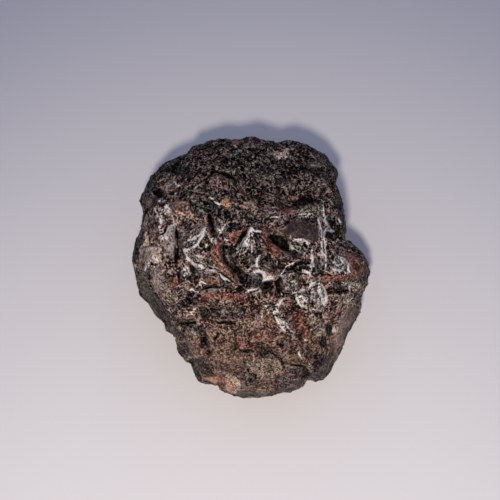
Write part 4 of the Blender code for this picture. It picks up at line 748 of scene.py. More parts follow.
# Half sizes of a crystal, as shares of its spacing, and the level of its noise that lies on the body.
# Druses with a spacing below FINE_DRUSE lose a share of their height on smooth faces
BLADE_SHAPE = (0.55, 1.0, 1.25)
CRYSTAL_MEAN = 0.45
FINE_DRUSE = 3.0
DRUSE_LOSS = 0.85

# Curling ridges over all: spacing, height, seed, the level of their noise that lies on the body, and the
# share of their height that smooth faces lose
GRAIN_SPACING = 1.3
GRAIN_HEIGHT = 0.30
GRAIN_SEED = 91
GRAIN_MEAN = 0.4
GRAIN_LOSS = 0.9

# Rounds of smoothing against which the fine edges, small hollows and broad dips are told, for the painted
# highlight on crests and the painted shade in hollows and dips
SHADING_ROUNDS = (2, 10, 50)

# Where hollows, slabs, soft shades and cracks begin and end: shares of their half width, and millimetres
# for slabs
HOLLOW_EDGE = (0.3, 1.5)
SLAB_EDGE = (-0.25, 0.25)
SHADE_EDGE = (0.5, 1.2)
CRACK_EDGE = (0.6, 1.6)

# Tones of the rock, as linear red, green and blue
PALETTE = {
    # Black serves both for black rock and for painted shade in pits, cracks and under ledges
    "black": (0.012, 0.0085, 0.0075),
    "ink": (0.021, 0.017, 0.017),
    "pitch": (0.036, 0.030, 0.026),
    "umber": (0.060, 0.038, 0.033),
    "plum": (0.058, 0.038, 0.036),
    "liver": (0.100, 0.056, 0.045),
    "drab": (0.105, 0.082, 0.062),
    "slab": (0.042, 0.028, 0.027),
    "grey": (0.140, 0.109, 0.094),
    "ash": (0.230, 0.215, 0.220),
    "olive": (0.170, 0.126, 0.094),
    "khaki": (0.215, 0.160, 0.118),
    "taupe": (0.200, 0.145, 0.120),
    "clay": (0.270, 0.200, 0.155),
    "beige": (0.360, 0.280, 0.210),
    "rust": (0.172, 0.074, 0.050),
    "brick": (0.170, 0.070, 0.052),
    "sienna": (0.190, 0.102, 0.072),
    "ochre": (0.280, 0.160, 0.088),
    "tan": (0.530, 0.300, 0.195),
    "crown": (0.034, 0.0200, 0.0148),
    "belt": (0.104, 0.064, 0.052),
    "lower": (0.138, 0.083, 0.060),
}

# Heights on the viewer's plane between which each tone of bare rock gives way to the next, then strength,
# spacing, layers and seed of the straying of those heights and of the slow clouds in the tone
BELT_HEIGHTS = (-9.0, -3.0)
CROWN_HEIGHTS = (9.5, 14.0)
BAND_STRAYING = (1.6, 6.0, 3, 101)
TONE_CLOUDS = (0.22, 3.0, 3, 111)

# Drawn faces: softness of the edge, slope, share of the listed lift, and the turn from one face's slope to
# the next. Rusty faces are at least a little smooth
FACE_EDGE = 0.14
FACE_SLOPE = 0.10
FACE_LIFT = 0.6
GOLDEN_TURN = 2.39996
RUSTY_CALM = 0.58
RUSTY_TONES = ("rust", "brick", "sienna", "ochre")
CRACK_DEPTH = 0.6

# Smoothness of the bare rock low on the stone, and the heights between which it comes in
CALM_BELOW = 0.58
CALM_HEIGHTS = (-16.0, -2.0)

# How much a surface faces the viewer, 1 full on and 0 at the rim, where each share goes from none to all,
# and what is left of the tone right at the rim, where painted shade darkens it
SEEN_FACING = (0.10, 0.45)
HIDDEN_FACING = (0.0, 0.45)
DRAWN_FACING = (0.0, 0.20)
RIM_SHADE_FACING = (0.05, 0.40)
RIM_PAINTED_SHADE = 0.25

# How far drawn places stray from their lines, and the spacing and seeds of that straying, for the shape
# and for the tones
SHAPE_STRAYING = (0.22, 2.2, (11, 12))
TONE_STRAYING = (0.16, 1.3, (13, 14))

# Patches on the hidden sides: strength, spacing, noise at which each begins and is full, and seed
HIDDEN_CHALK = (0.9, 3.0, 0.75, 1.1, 131)
HIDDEN_DUST = (0.4, 7.0, 0.35, 0.9, 141)
HIDDEN_RUST = (0.9, 6.0, 0.40, 0.7, 151)
HIDDEN_OCHRE = (0.8, 4.0, 0.75, 1.0, 161)

# Colours that the material lays over the rock, as linear red, green, blue and alpha, and how much of each
# at the most
RUST_STAIN = (0.20, 0.075, 0.052, 1.0)
RUST_SHARE = 0.75
OCHRE_STAIN = (0.42, 0.24, 0.13, 1.0)
OCHRE_SHARE = 0.80
# The brightest blades' pale beige is partly their own colour and partly a painted highlight on crests
PALE_BLADE_AND_HIGHLIGHT = (0.40, 0.38, 0.35, 1.0)
PALE_SHARE = 0.64
TINT_SHARE = 0.16
DUST_COLOUR = (0.62, 0.58, 0.54, 1.0)
CHALK_COLOUR = (0.92, 0.89, 0.84, 1.0)
CHALK_SHARE = 0.92

# Ramps of the material: where each starts and ends, and what it gives there, from 0 to 1 if nothing is said
CALM_GRAIN = (0.0, 1.0, 1.0, 0.18)
CALM_TONE = (0.2, 1.0, 1.05, 0.82)
CREST_SHADING_RAMP = (-0.10, 0.12)
PALE_RAMP = (0.6, 1.8)
HOLLOW_SHADE_RAMP = (-0.45, 0.10, 0.42, 1.0)
DIP_SHADE_RAMP = (-1.4, 0.0, 0.50, 1.0)
FLECKS_NEAR_SEAMS = (0.02, 0.3)
CHALK_RAMP = (0.86, 1.10)
ROUGHNESS_RAMP = (-1.0, 1.0, 0.60, 0.34)

# Gloss of the rock, extra roughness of the chalk, and strength and height in millimetres of the bump
GLOSS_LEVEL = 0.06
GLOSS_TINT = (0.80, 0.70, 0.62, 1.0)
CHALK_ROUGHNESS = 0.3
BUMP_STRENGTH = 0.7
BUMP_HEIGHT = 0.08

# Fibres of the grain: size of a crystal, spacing of its fibres, stretch along them, width of a crest on
# the noise's own scale, and shift of the pattern
LONG_FIBRES = (4.0, 1.05, 3.2, 0.036, 3.0)
SHORT_FIBRES = (1.9, 0.62, 2.2, 0.042, 17.0)

# Noises of the grain: features to the millimetre, layers and roughness, and where flecks and pits come in
CLOUDS = (0.30, 4.0, 0.62)
CROWDS = (0.60, 3.0, 0.6)
PORES = (2.4, 2.0, 0.70)
FLECKS = (3.0, 1.0, 0.55)
FLECK_RAMP = (0.61, 0.69)
PIT_RAMP = (0.43, 0.34)

# The grain's highest level, what its level is multiplied by, and how far its blades lean
BRIGHTEST_GRAIN = 1.45
GRAIN_CONTRAST = 1.68
BLADE_LEAN = 1.6


def view_axes():
    """The directions of U, V and W in the part's own frame, one to a row."""
    raised = math.radians(VIEW_ELEVATION)
    across = (1.0, 0.0, 0.0)
    up = (0.0, math.sin(raised), math.cos(raised))
    towards = (0.0, -math.cos(raised), math.sin(raised))
    return np.array((across, up, towards))


VIEW_AXES = view_axes()


def pointing(azimuth, elevation):
    """The direction at an azimuth and an elevation in degrees."""
    turn = math.radians(azimuth)
    raised = math.radians(elevation)
    flat = math.cos(raised)
    return np.array((flat * math.cos(turn), flat * math.sin(turn), math.sin(raised)))


def eased(value, low, high):
    """0 below low, 1 above high, and a smooth S between them."""
    share = np.clip((value - low) / (high - low), 0.0, 1.0)
    return share * share * (3.0 - 2.0 * share)


def lattice_value(cell, seed):
    """A repeatable number from -1 to 1 for each cell of a lattice."""
    mixed = cell @ np.array((73856093, 19349663, 83492791)) + seed * 1013904223
    mixed = (mixed ^ (mixed >> 15)) * 668265263 & 0xFFFFFFFF
    mixed = (mixed ^ (mixed >> 13)) * 374761393 & 0xFFFFFFFF
    return ((mixed ^ (mixed >> 16)) & 0xFFFF) / 32767.5 - 1.0


def soft_noise(points, spacing, seed):
    """Smooth noise: random values on a lattice, eased between the eight corners round each point."""
    scaled = points / spacing
    cell = np.floor(scaled).astype(np.int64)
    share = scaled - cell
    share = share * share * (3.0 - 2.0 * share)
    total = np.zeros(len(points))
    for corner in np.ndindex(2, 2, 2):
        weight = np.prod(np.where(corner, share, 1.0 - share), axis=1)
        total += weight * lattice_value(cell + np.array(corner), seed)
    return total


LAYER_TURN = np.array(((0.36, 0.48, -0.80), (-0.80, 0.60, 0.00), (0.48, 0.64, 0.60)))


def layered_noise(points, spacing, layers, seed):
    """Soft noise in layers, each turned, and with half the spacing and half the height of the last."""
    total = np.zeros(len(points))
    for layer in range(layers):
        total += 0.5**layer * soft_noise(points, spacing * 0.5**layer, seed + 7 * layer)
        points = points @ LAYER_TURN
    return total


def curling_ridges(points, spacing, seed):
    """Thin curling ridges, from 0 to 1: sharp crests where soft noise passes through nought."""
    bend = np.stack([soft_noise(points, 2.0 * spacing, seed + k) for k in range(3)], axis=1)
    bent = (points + 0.6 * spacing * bend) @ LAYER_TURN
    return 1.0 - np.minimum(np.abs(layered_noise(bent, spacing, 2, seed + 3)) / 0.5, 1.0)


def crystal_noise(points, spacing, seed):
    """A druse of blocky blades: the nearest scattered box decides the height, 1 at its core, less outwards.

    Each cell of a lattice holds one box, jittered, turned at random and flattened along one side.
    """
    scaled = points / spacing
    cell = np.floor(scaled).astype(np.int64)
    nearest = np.full(len(points), 9.0)
    for step in np.ndindex(3, 3, 3):
        home = cell + np.array(step) - 1
        random = np.stack([lattice_value(home, seed + k) for k in range(9)], axis=1)
        apart = scaled - home - 0.5 - 0.42 * random[:, 0:3]
        first = random[:, 3:6] + 0.01
        first /= np.linalg.norm(first, axis=1)[:, None]
        second = np.cross(first, random[:, 6:9] + 0.02)
        second /= np.linalg.norm(second, axis=1)[:, None]
        third = np.cross(first, second)
        sides = zip((first, second, third), BLADE_SHAPE)
        box = np.max([np.abs(np.sum(apart * axis, axis=1)) / half for axis, half in sides], axis=0)
        nearest = np.minimum(nearest, box)
    return 1.0 - nearest


def outline_radius(angle, smooth):
    """The outline's distance from the middle at an angle, jagged, or smoothed to its first few waves."""
    points = np.array(OUTLINE)
    turns = np.arctan2(points[:, 1], points[:, 0])
    order = np.argsort(turns)
    reach = np.hypot(points[:, 0], points[:, 1])
    if not smooth:
        return np.interp(angle, turns[order], reach[order], period=2.0 * math.pi)
    steps = np.linspace(-math.pi, math.pi, 360, endpoint=False)
    waves = np.fft.rfft(np.interp(steps, turns[order], reach[order], period=2.0 * math.pi))
    waves[SMOOTH_WAVES:] = 0.0
    return np.interp(angle, steps, np.fft.irfft(waves, 360), period=2.0 * math.pi)


def body_radius(directions):
    """Distance from the middle to the smooth body along each direction.

    It is the rounded overlap of three shapes: a cushion with the seen outline, a flatter cushion
    that the stone rests on, and the half-spaces of the broad faces.
    """
    seen = directions @ VIEW_AXES.T
    angle = np.arctan2(seen[:, 1], seen[:, 0])
    slant = np.hypot(seen[:, 0], seen[:, 1])
    depth = np.where(seen[:, 2] > 0.0, FRONT_DEPTH, BACK_DEPTH)
    jagged = outline_radius(angle, False)
    smooth = outline_radius(angle, True)
    off_plane = jagged * seen[:, 2] / np.maximum(slant, 0.05)
    fading = off_plane / np.where(seen[:, 2] > 0.0, FRONT_REACH, BACK_REACH)
    reach = smooth + (jagged - smooth) * np.exp(-fading * fading)
    cushion = (slant / reach) ** SEEN_ROUNDNESS + (np.abs(seen[:, 2]) / depth) ** SEEN_ROUNDNESS
    inverse = cushion ** (EDGE_SHARPNESS / SEEN_ROUNDNESS)
    rest = np.sum((np.abs(directions) / np.array(UNDERSIDE_SIZE)) ** UNDERSIDE_ROUNDNESS, axis=1)
    inverse += rest ** (EDGE_SHARPNESS / UNDERSIDE_ROUNDNESS)
    for outward, distance in BROAD_FACES:
        unit = np.array(outward) / np.linalg.norm(outward)
        inverse += (np.maximum(seen @ unit, 0.0) / distance) ** EDGE_SHARPNESS
    return inverse ** (-1.0 / EDGE_SHARPNESS)


def body_normals(directions):
    """Outward normals of the smooth body, from the slope of its radius across each direction."""
    step = 0.02
    helper = np.where(np.abs(directions[:, 2:]) < 0.8, (0.0, 0.0, 1.0), (1.0, 0.0, 0.0))
    first = np.cross(helper, directions)
    first /= np.linalg.norm(first, axis=1)[:, None]
    second = np.cross(directions, first)
    edges = []
    for tangent in (first, second):
        ends = []
        for sign in (1.0, -1.0):
            near = directions + sign * step * tangent
            near /= np.linalg.norm(near, axis=1)[:, None]
            ends.append(near * body_radius(near)[:, None])
        edges.append(ends[0] - ends[1])
    normals = np.cross(edges[0], edges[1])
    return normals / np.linalg.norm(normals, axis=1)[:, None]


def line_distance(plane, points):
    """Distance from each place on the plane to a line of straight pieces."""
    nearest = np.full(len(plane), 1e9)
    for start, end in zip(np.array(points[:-1]), np.array(points[1:])):
        along = end - start
        share = np.clip((plane - start) @ along / (along @ along), 0.0, 1.0)
        apart = np.linalg.norm(plane - start - share[:, None] * along, axis=1)
        nearest = np.minimum(nearest, apart)
    return nearest


def outline_depth(plane, corners):
    """How far each place lies inside an outline, negative outside it."""
    corners = np.array(corners)
    inside = np.zeros(len(plane), dtype=bool)
    for start, end in zip(corners, np.roll(corners, -1, axis=0)):
        passed = (start[1] > plane[:, 1]) != (end[1] > plane[:, 1])
        rise = end[1] - start[1] if end[1] != start[1] else 1.0
        meeting = start[0] + (plane[:, 1] - start[1]) * (end[0] - start[0]) / rise
        inside ^= passed & (plane[:, 0] < meeting)
    apart = line_distance(plane, np.concatenate((corners, corners[:1])))
    return np.where(inside, apart, -apart)


def patches(plane, marks, edge):
    """Strongest of a list of patches at each place: full on its line, gone at 1 + edge of its half width."""
    strongest = np.zeros(len(plane))
    for points, half_width, strength in marks:
        apart = line_distance(plane, points) / half_width
        strongest = np.maximum(strongest, strength * (1.0 - eased(apart, 1.0 - edge, 1.0 + edge)))
    return strongest


def chalk_lines():
    """Every chalk seam and every line of the fans, with its half width and strength."""
    lines = list(CHALK_SEAMS)
    for start, first, last, count, strength in CHALK_RAYS:
        for index in range(count):
            end = np.array(first) + (np.array(last) - first) * index / (count - 1)
            reach = RAY_LENGTHS[index % len(RAY_LENGTHS)]
            lines.append(((start, tuple(start + (end - start) * reach)), RAY_HALF_WIDTH, strength))
    return lines


def seam_strength(plane, marks):
    """How chalky each place is: falling off evenly from each seam's uneven edge, with a faint tail beyond."""
    flat = np.column_stack((plane, np.zeros(len(plane))))
    uneven = SEAM_UNEVENNESS * layered_noise(flat, 1.0, 2, 171)
    strongest = np.zeros(len(plane))
    for points, half_width, strength in marks:
        apart = line_distance(plane, points)
        core = np.clip(1.0 + (SEAM_WIDTH * half_width + uneven - apart) / SEAM_FALL, 0.0, SEAM_CORE)
        tail = SEAM_TAIL * np.exp(-apart / SEAM_TAIL_REACH)
        strongest = np.maximum(strongest, (0.7 + 0.3 * strength) * np.maximum(core, tail))
    return strongest


def front_relief(plane):
    """How far the seen face stands out at each place on the viewer's plane."""
    relief = np.zeros(len(plane))
    for points, half_width, depth in HOLLOWS:
        relief -= depth * (1.0 - eased(line_distance(plane, points) / half_width, *HOLLOW_EDGE))
    for middle, wide, high, height in LUMPS:
        apart = np.hypot((plane[:, 0] - middle[0]) / wide, (plane[:, 1] - middle[1]) / high)
        relief += height * np.sqrt(np.clip(1.0 - apart * apart, 0.0, 1.0))
    for corners, height in SLABS:
        relief += height * eased(outline_depth(plane, corners), *SLAB_EDGE)
    blades = np.zeros(len(plane))
    for points, half_width, height in BLADES:
        blades = np.maximum(blades, height * (1.0 - line_distance(plane, points) / half_width))
    return relief + blades - fan_grooves(plane)


def fan_grooves(plane):
    """Depth of the fine grooves: a wave across the angle seen from each fan's start, kept to its stretch."""
    depth = np.zeros(len(plane))
    for start, stretch, half_width, pitch, deep in FANS:
        angle = np.arctan2(plane[:, 1] - start[1], plane[:, 0] - start[0])
        wave = 0.5 + 0.5 * np.cos(angle * 360.0 / pitch)
        depth += deep * wave * (1.0 - eased(line_distance(plane, stretch) / half_width, 0.6, 1.1))
    return depth


def drawn_faces(plane, tone, smooth):
    """Tone, smoothness and lift of the drawn faces and cracks, later ones over earlier ones."""
    tone = tone.copy()
    smooth = smooth.copy()
    lift = np.zeros(len(plane))
    for index, (name, calm, rise, corners) in enumerate(FACETS):
        corners = np.array(corners)
        calm = max(calm, RUSTY_CALM) if name in RUSTY_TONES else calm
        nearby = (plane > corners.min(axis=0) - FACE_EDGE) & (plane < corners.max(axis=0) + FACE_EDGE)
        near = np.flatnonzero(nearby.all(axis=1))
        spots = plane[near]
        share = eased(outline_depth(spots, corners), -FACE_EDGE, FACE_EDGE)
        turn = index * GOLDEN_TURN
        slope = FACE_SLOPE * np.array((math.cos(turn), math.sin(turn)))
        height = FACE_LIFT * rise + (spots - corners.mean(axis=0)) @ slope
        tone[near] = blended(tone[near], PALETTE[name], share)
        smooth[near] += (np.maximum(calm, smooth[near]) - smooth[near]) * share
        lift[near] += (height - lift[near]) * share
    # Soft lighter and darker areas, partly the rock's own tone and partly painted shade along the top and the
    # rims
    for middle, wide, high, factor in SHADES:
        apart = np.hypot((plane[:, 0] - middle[0]) / wide, (plane[:, 1] - middle[1]) / high)
        tone *= (1.0 + (factor - 1.0) * (1.0 - eased(apart, *SHADE_EDGE)))[:, None]
    # Cracks: sunk, and painted black as the shade inside them
    for points, half_width in CRACKS:
        share = 1.0 - eased(line_distance(plane, points) / half_width, *CRACK_EDGE)
        tone = blended(tone, PALETTE["black"], share)
        lift -= CRACK_DEPTH * share
    return tone, smooth, lift


def star_relief(points, directions):
    """Raised stars of crystal blades: each arm is a roof that widens outwards and sinks to the star's rim."""
    relief = np.zeros(len(points))
    for azimuth, elevation, radius, arms, height in STARS:
        turn = math.radians(azimuth)
        out = pointing(azimuth, elevation)
        side = np.cross((0.0, 0.0, 1.0), out)
        side /= np.linalg.norm(side)
        rise = np.cross(out, side)
        place = out * body_radius(out[None, :])[0]
        across = (points - place) @ side
        upward = (points - place) @ rise
        apart = np.hypot(across, upward)
        angle = np.arctan2(upward, across)
        for arm in range(arms):
            off = np.abs((angle - 2.0 * math.pi * arm / arms - turn + math.pi) % (2.0 * math.pi) - math.pi)
            beside = apart * np.sin(np.minimum(off, 0.5 * math.pi)) / (STAR_ARM_SPREAD * apart + 0.8)
            roof = height * np.maximum(1.0 - beside, 0.0) * np.maximum(1.0 - apart / radius, 0.0)
            relief = np.maximum(relief, np.where(directions @ out > 0.3, roof, 0.0))
    return relief


def ball_grid():
    """Directions and faces of a ball made of six square grids whose shared edges are joined.

    A grid point at angles a and b lies along (1, tan a, tan b), turned to each of the six sides. The
    directions are then drawn towards the viewer, so that the seen side gets more of them.
    """
    count = GRID_SQUARES + 1
    slopes = np.tan(np.linspace(-0.25 * math.pi, 0.25 * math.pi, count))
    first, second = np.meshgrid(slopes, slopes, indexing="ij")
    ones = np.ones_like(first)
    sides = []
    for axis in range(3):
        for sign in (1.0, -1.0):
            sides.append(np.roll(np.stack((sign * ones, sign * first, second), axis=-1), axis, axis=-1))
    spots = np.concatenate([side.reshape(-1, 3) for side in sides])
    spots /= np.linalg.norm(spots, axis=1)[:, None]
    _, kept, shared = np.unique(np.round(spots, 6), axis=0, return_index=True, return_inverse=True)
    index = shared.reshape(6, count, count)
    corners = (index[:, :-1, :-1], index[:, 1:, :-1], index[:, 1:, 1:], index[:, :-1, 1:])
    faces = np.stack(corners, axis=-1).reshape(-1, 4)
    directions = spots[kept] + (0.0, 0.0, FRONT_CROWDING)
    directions /= np.linalg.norm(directions, axis=1)[:, None]
    return directions @ VIEW_AXES, faces


def neighbour_mean(values, pairs, count):
    """Mean of each vertex's neighbours, from the mesh's edges."""
    total = np.stack([np.bincount(pairs[:, 0], values[pairs[:, 1], k], count) for k in range(3)], axis=1)
    return total / np.bincount(pairs[:, 0], minlength=count)[:, None]


def standing_out(points, normals, faces, rounds):
    """How far each vertex stands out from its surroundings, after each number of smoothing rounds."""
    edges = np.concatenate([faces[:, [0, 1]], faces[:, [1, 2]], faces[:, [2, 3]], faces[:, [3, 0]]])
    pairs = np.concatenate([edges, edges[:, ::-1]])
    smooth = points
    heights = []
    for done in range(1, max(rounds) + 1):
        smooth = neighbour_mean(smooth, pairs, len(points))
        if done in rounds:
            heights.append(np.sum((points - smooth) * normals, axis=1))
    return heights


def straying(body, reach, spacing, seeds):
    """How far each place on the viewer's plane is shifted, by noise that the body carries."""
    return np.stack([reach * layered_noise(body, spacing, 2, seed) for seed in seeds], axis=1)


def stone_surface(directions):
    """The stone's points in millimetres from the body's middle, and what the finish needs to know of each."""
    body = directions * body_radius(directions)[:, None]
    normals = body_normals(directions)
    seen = body @ VIEW_AXES.T
    shrink = VIEW_DISTANCE / (VIEW_DISTANCE - seen[:, 2])
    to_viewer = VIEW_AXES[2] * VIEW_DISTANCE - body
    to_viewer /= np.linalg.norm(to_viewer, axis=1)[:, None]
    facing = np.sum(normals * to_viewer, axis=1)
    front = eased(facing, *SEEN_FACING)
    hidden = eased(-facing, *HIDDEN_FACING)
    off_axis = np.hypot(body[:, 0], body[:, 1])
    bottom = 1.0 - eased(off_axis, FLAT_SPOT_RADIUS, FLAT_SPOT_RADIUS + FLAT_SPOT_EDGE)
    bottom *= directions[:, 2] < 0.0
    plane = seen[:, :2] * shrink[:, None]
    wandered = plane + straying(body, *SHAPE_STRAYING)
    ragged = plane + straying(body, *TONE_STRAYING)
    bare = rock_tone(body)
    calm = CALM_BELOW * (1.0 - eased(seen[:, 1], *CALM_HEIGHTS))
    drawn, smooth, lift = drawn_faces(ragged, bare, calm)
    inked = eased(facing, *DRAWN_FACING)
    tone = blended(bare, drawn, inked)
    # Painted light: a warmer rim against the cool light it reflects, and paler sides and back as a fill for
    # their shade
    tone = blended(tone, tone * np.array(RIM_PAINTED_WARMTH), 1.0 - front)
    tone = blended(tone, tone * HIDDEN_PAINTED_FILL, hidden)
    smooth = smooth * inked
    around = star_relief(body, directions) * hidden
    for spacing, height, seed, seen_share in DRUSES:
        share = seen_share + (1.0 - seen_share) * hidden
        if spacing < FINE_DRUSE:
            share = share * (1.0 - DRUSE_LOSS * smooth)
        around = around + height * share * (crystal_noise(body, spacing, seed) - CRYSTAL_MEAN)
    ridges = curling_ridges(body, GRAIN_SPACING, GRAIN_SEED) - GRAIN_MEAN
    around = around + GRAIN_HEIGHT * (1.0 - GRAIN_LOSS * smooth) * ridges
    shown = front_relief(wandered) + lift + SEAM_HEIGHT * patches(wandered, CHALK_SEAMS, SEAM_SOFTNESS)
    points = body + to_viewer * (front * shown)[:, None] + normals * ((1.0 - bottom) * around)[:, None]
    # Painted shade: the tone darkens towards the rim, where the surface turns away from the viewer
    rim = RIM_PAINTED_SHADE + (1.0 - RIM_PAINTED_SHADE) * eased(np.abs(facing), *RIM_SHADE_FACING)
    return points, normals, body, wandered, front, hidden, smooth, tone * rim[:, None]


def blended(first, second, share):
    """Colour between two colours, by a share for each vertex."""
    return first + (np.array(second) - first) * share[:, None]


def rock_tone(body):
    """Colour of the bare rock: black crown, brown belt and paler brown below, with slow clouds in it."""
    strength, *pattern = BAND_STRAYING
    height = (body @ VIEW_AXES.T)[:, 1] + strength * layered_noise(body, *pattern)
    tone = np.tile(np.array(PALETTE["lower"]), (len(body), 1))
    tone = blended(tone, PALETTE["belt"], eased(height, *BELT_HEIGHTS))
    tone = blended(tone, PALETTE["crown"], eased(height, *CROWN_HEIGHTS))
    strength, *pattern = TONE_CLOUDS
    return tone * (1.0 + strength * layered_noise(body, *pattern))[:, None]


def scattered(points, strength, spacing, low, high, seed):
    """Natural patches for the sides that nobody sees from the front: where layered noise is high."""
    return strength * eased(layered_noise(points, spacing, 3, seed), low, high)


def build_stone():
    """The whole stone as one closed mesh, with its colours and finishes as attributes."""
    directions, faces = ball_grid()
    points, normals, body, plane, front, hidden, smooth, tone = stone_surface(directions)
    edges, hollows, dips = standing_out(points, normals, faces, SHADING_ROUNDS)
    placed = points + np.array(BODY_MIDDLE)
    placed[:, 2] = np.maximum(placed[:, 2], 0.0)
    seams = front * seam_strength(plane, chalk_lines())
    chalk = np.maximum(seams, hidden * scattered(body, *HIDDEN_CHALK))
    film = front * patches(plane, DUST_PATCHES, DUST_SOFTNESS)
    dust = np.maximum(film, hidden * scattered(body, *HIDDEN_DUST))
    rust = hidden * scattered(body, *HIDDEN_RUST)
    ochre = hidden * scattered(body, *HIDDEN_OCHRE)
    mesh = bpy.data.meshes.new("prophecy_stone_skin")
    mesh.from_pydata(placed * MM, [], faces)
    mesh.shade_smooth()
    put_attribute(mesh, "tone", tone)
    put_attribute(mesh, "mineral", np.stack((rust, ochre, chalk), axis=1))
    # How far each vertex stands out, kept for the painted highlight on crests and the painted shade in
    # hollows
    put_attribute(mesh, "relief_shading", np.stack((edges, hollows, dips), axis=1))
    put_attribute(mesh, "finish", np.stack((dust, smooth, np.zeros_like(dust)), axis=1))
    stone = bpy.data.objects.new("stone_skin", mesh)
    bpy.context.scene.collection.objects.link(stone)
    return stone


def put_attribute(mesh, name, values):
    """Stores three numbers for each vertex under a name that the material reads."""
    layer = mesh.attributes.new(name, "FLOAT_VECTOR", "POINT")
    layer.data.foreach_set("vector", np.ascontiguousarray(values, dtype=np.float32).ravel())


class Maker:
    """Short ways to add and join the nodes of one node tree."""

    def __init__(self, tree):
        self.tree = tree

    def node(self, kind, **settings):
        """A new node with some of its settings."""
        made = self.tree.nodes.new(kind)
        for name, value in settings.items():
            setattr(made, name, value)
        return made

    def feed(self, socket, source):
        """Joins a source to a socket, or sets the socket where the source is a plain value."""
        if isinstance(source, bpy.types.NodeSocket):
            self.tree.links.new(source, socket)
        else:
            socket.default_value = source

    def feed_all(self, sockets, sources):
        """Feeds the first sockets of a node in turn."""
        for socket, source in zip(sockets, sources):
            self.feed(socket, source)

    def math(self, operation, *sources, clamp=False):
        """One step of arithmetic."""
        made = self.node("ShaderNodeMath", operation=operation, use_clamp=clamp)
        self.feed_all(made.inputs, sources)
        return made.outputs[0]

    def vector(self, operation, *sources):
        """One step of arithmetic on vectors or colours."""
        made = self.node("ShaderNodeVectorMath", operation=operation)
        self.feed_all(made.inputs, sources)
        return made.outputs["Value" if operation == "DOT_PRODUCT" else "Vector"]

    def scaled(self, vector, factor):
        """A vector or a colour times a number."""
        made = self.node("ShaderNodeVectorMath", operation="SCALE")
        self.feed(made.inputs["Vector"], vector)
        self.feed(made.inputs["Scale"], factor)
        return made.outputs["Vector"]

    def split(self, vector):
        """The three numbers of a vector or a colour."""
        made = self.node("ShaderNodeSeparateXYZ")
        self.feed(made.inputs[0], vector)
        return made.outputs

    def ramp(self, value, low, high, bottom=0.0, top=1.0):
        """Smoothly from bottom to top as the value goes from low to high."""
        made = self.node("ShaderNodeMapRange", interpolation_type="SMOOTHSTEP")
        self.feed_all(made.inputs, (value, low, high, bottom, top))
        return made.outputs[0]

    def mix(self, share, first, second, blend="MIX"):
        """One colour over another."""
        made = self.node("ShaderNodeMix", data_type="RGBA", blend_type=blend, clamp_result=False)
        self.feed(made.inputs[0], share)
        self.feed(made.inputs[6], first)
        self.feed(made.inputs[7], second)
        return made.outputs[2]

    def noise(self, place, scale, detail, roughness=0.5):
        """Noise at a number of features to the millimetre: its value, and three values as a colour."""
        made = self.node("ShaderNodeTexNoise")
        settings = {"Vector": place, "Scale": scale, "Detail": detail, "Roughness": roughness}
        for name, source in settings.items():
            self.feed(made.inputs[name], source)
        return made.outputs["Fac"], made.outputs["Color"]

    def attribute(self, name):
        """The colour that the mesh stores under a name, and its three numbers."""
        made = self.node("ShaderNodeAttribute", attribute_name=name)
        return made.outputs["Color"], self.split(made.outputs["Vector"])

    def grouped(self, tree, **sources):
        """A node group placed in this tree, with its inputs fed by name."""
        made = self.node("ShaderNodeGroup", node_tree=tree)
        for name, source in sources.items():
            self.feed(made.inputs[name], source)
        return made.outputs


def new_group(name, inputs, outputs):
    """An empty node group with named inputs and outputs, a maker for it, and what its inputs give."""
    tree = bpy.data.node_groups.new(name, "ShaderNodeTree")
    for label, kind, value in inputs:
        made = tree.interface.new_socket(label, in_out="INPUT", socket_type=kind)
        if value is not None:
            made.default_value = value
    for label, kind in outputs:
        tree.interface.new_socket(label, in_out="OUTPUT", socket_type=kind)
    make = Maker(tree)
    return tree, make, make.node("NodeGroupInput").outputs


def ragged_edge_group():
    """Breaks the soft rim of a patch into a ragged natural edge."""
    inputs = (
        ("Place", "NodeSocketVector", None),
        ("Patch", "NodeSocketFloat", 0.0),
        ("Raggedness", "NodeSocketFloat", 0.5),
        ("Scale", "NodeSocketFloat", 1.0),
    )
    tree, make, given = new_group("ragged_edge", inputs, (("Mask", "NodeSocketFloat"),))
    rough, _ = make.noise(given["Place"], given["Scale"], 5.0, 0.75)
    centred = make.math("SUBTRACT", rough, 0.5)
    pushed = make.math("MULTIPLY_ADD", centred, given["Raggedness"], given["Patch"])
    result = make.node("NodeGroupOutput")
    make.feed(result.inputs["Mask"], make.ramp(pushed, 0.2, 0.8))
    return tree


def fibres(make, place, cell, pitch, stretch, width, shift):
    """Thin curving fibres that run one way within each crystal and turn from one crystal to the next.

    Gives the fibres' crests from 0 to 1, a random lean, and a number from 0 to 1 for each crystal.
    """
    half = (0.5, 0.5, 0.5)
    moved = make.vector("ADD", place, (shift, 1.7 * shift, 2.9 * shift))
    _, bend = make.noise(moved, 1.0 / cell, 3.0)
    bent = make.vector("MULTIPLY_ADD", bend, (0.9 * cell, 0.9 * cell, 0.9 * cell), moved)
    crystals = make.node("ShaderNodeTexVoronoi")
    make.feed(crystals.inputs["Vector"], bent)
    make.feed(crystals.inputs["Scale"], 1.0 / cell)
    grow = make.vector("NORMALIZE", make.vector("SUBTRACT", crystals.outputs["Color"], half))
    along = make.vector("DOT_PRODUCT", bent, grow)
    back = make.scaled(grow, make.math("MULTIPLY", along, 1.0 / stretch - 1.0))
    fine, tilt = make.noise(make.vector("ADD", bent, back), 1.0 / pitch, 1.0)
    crest = make.math("ABSOLUTE", make.math("SUBTRACT", fine, 0.5))
    lean = make.vector("SUBTRACT", tilt, half)
    return make.ramp(crest, 0.0, width, 1.0, 0.0), lean, make.split(crystals.outputs["Color"])[0]


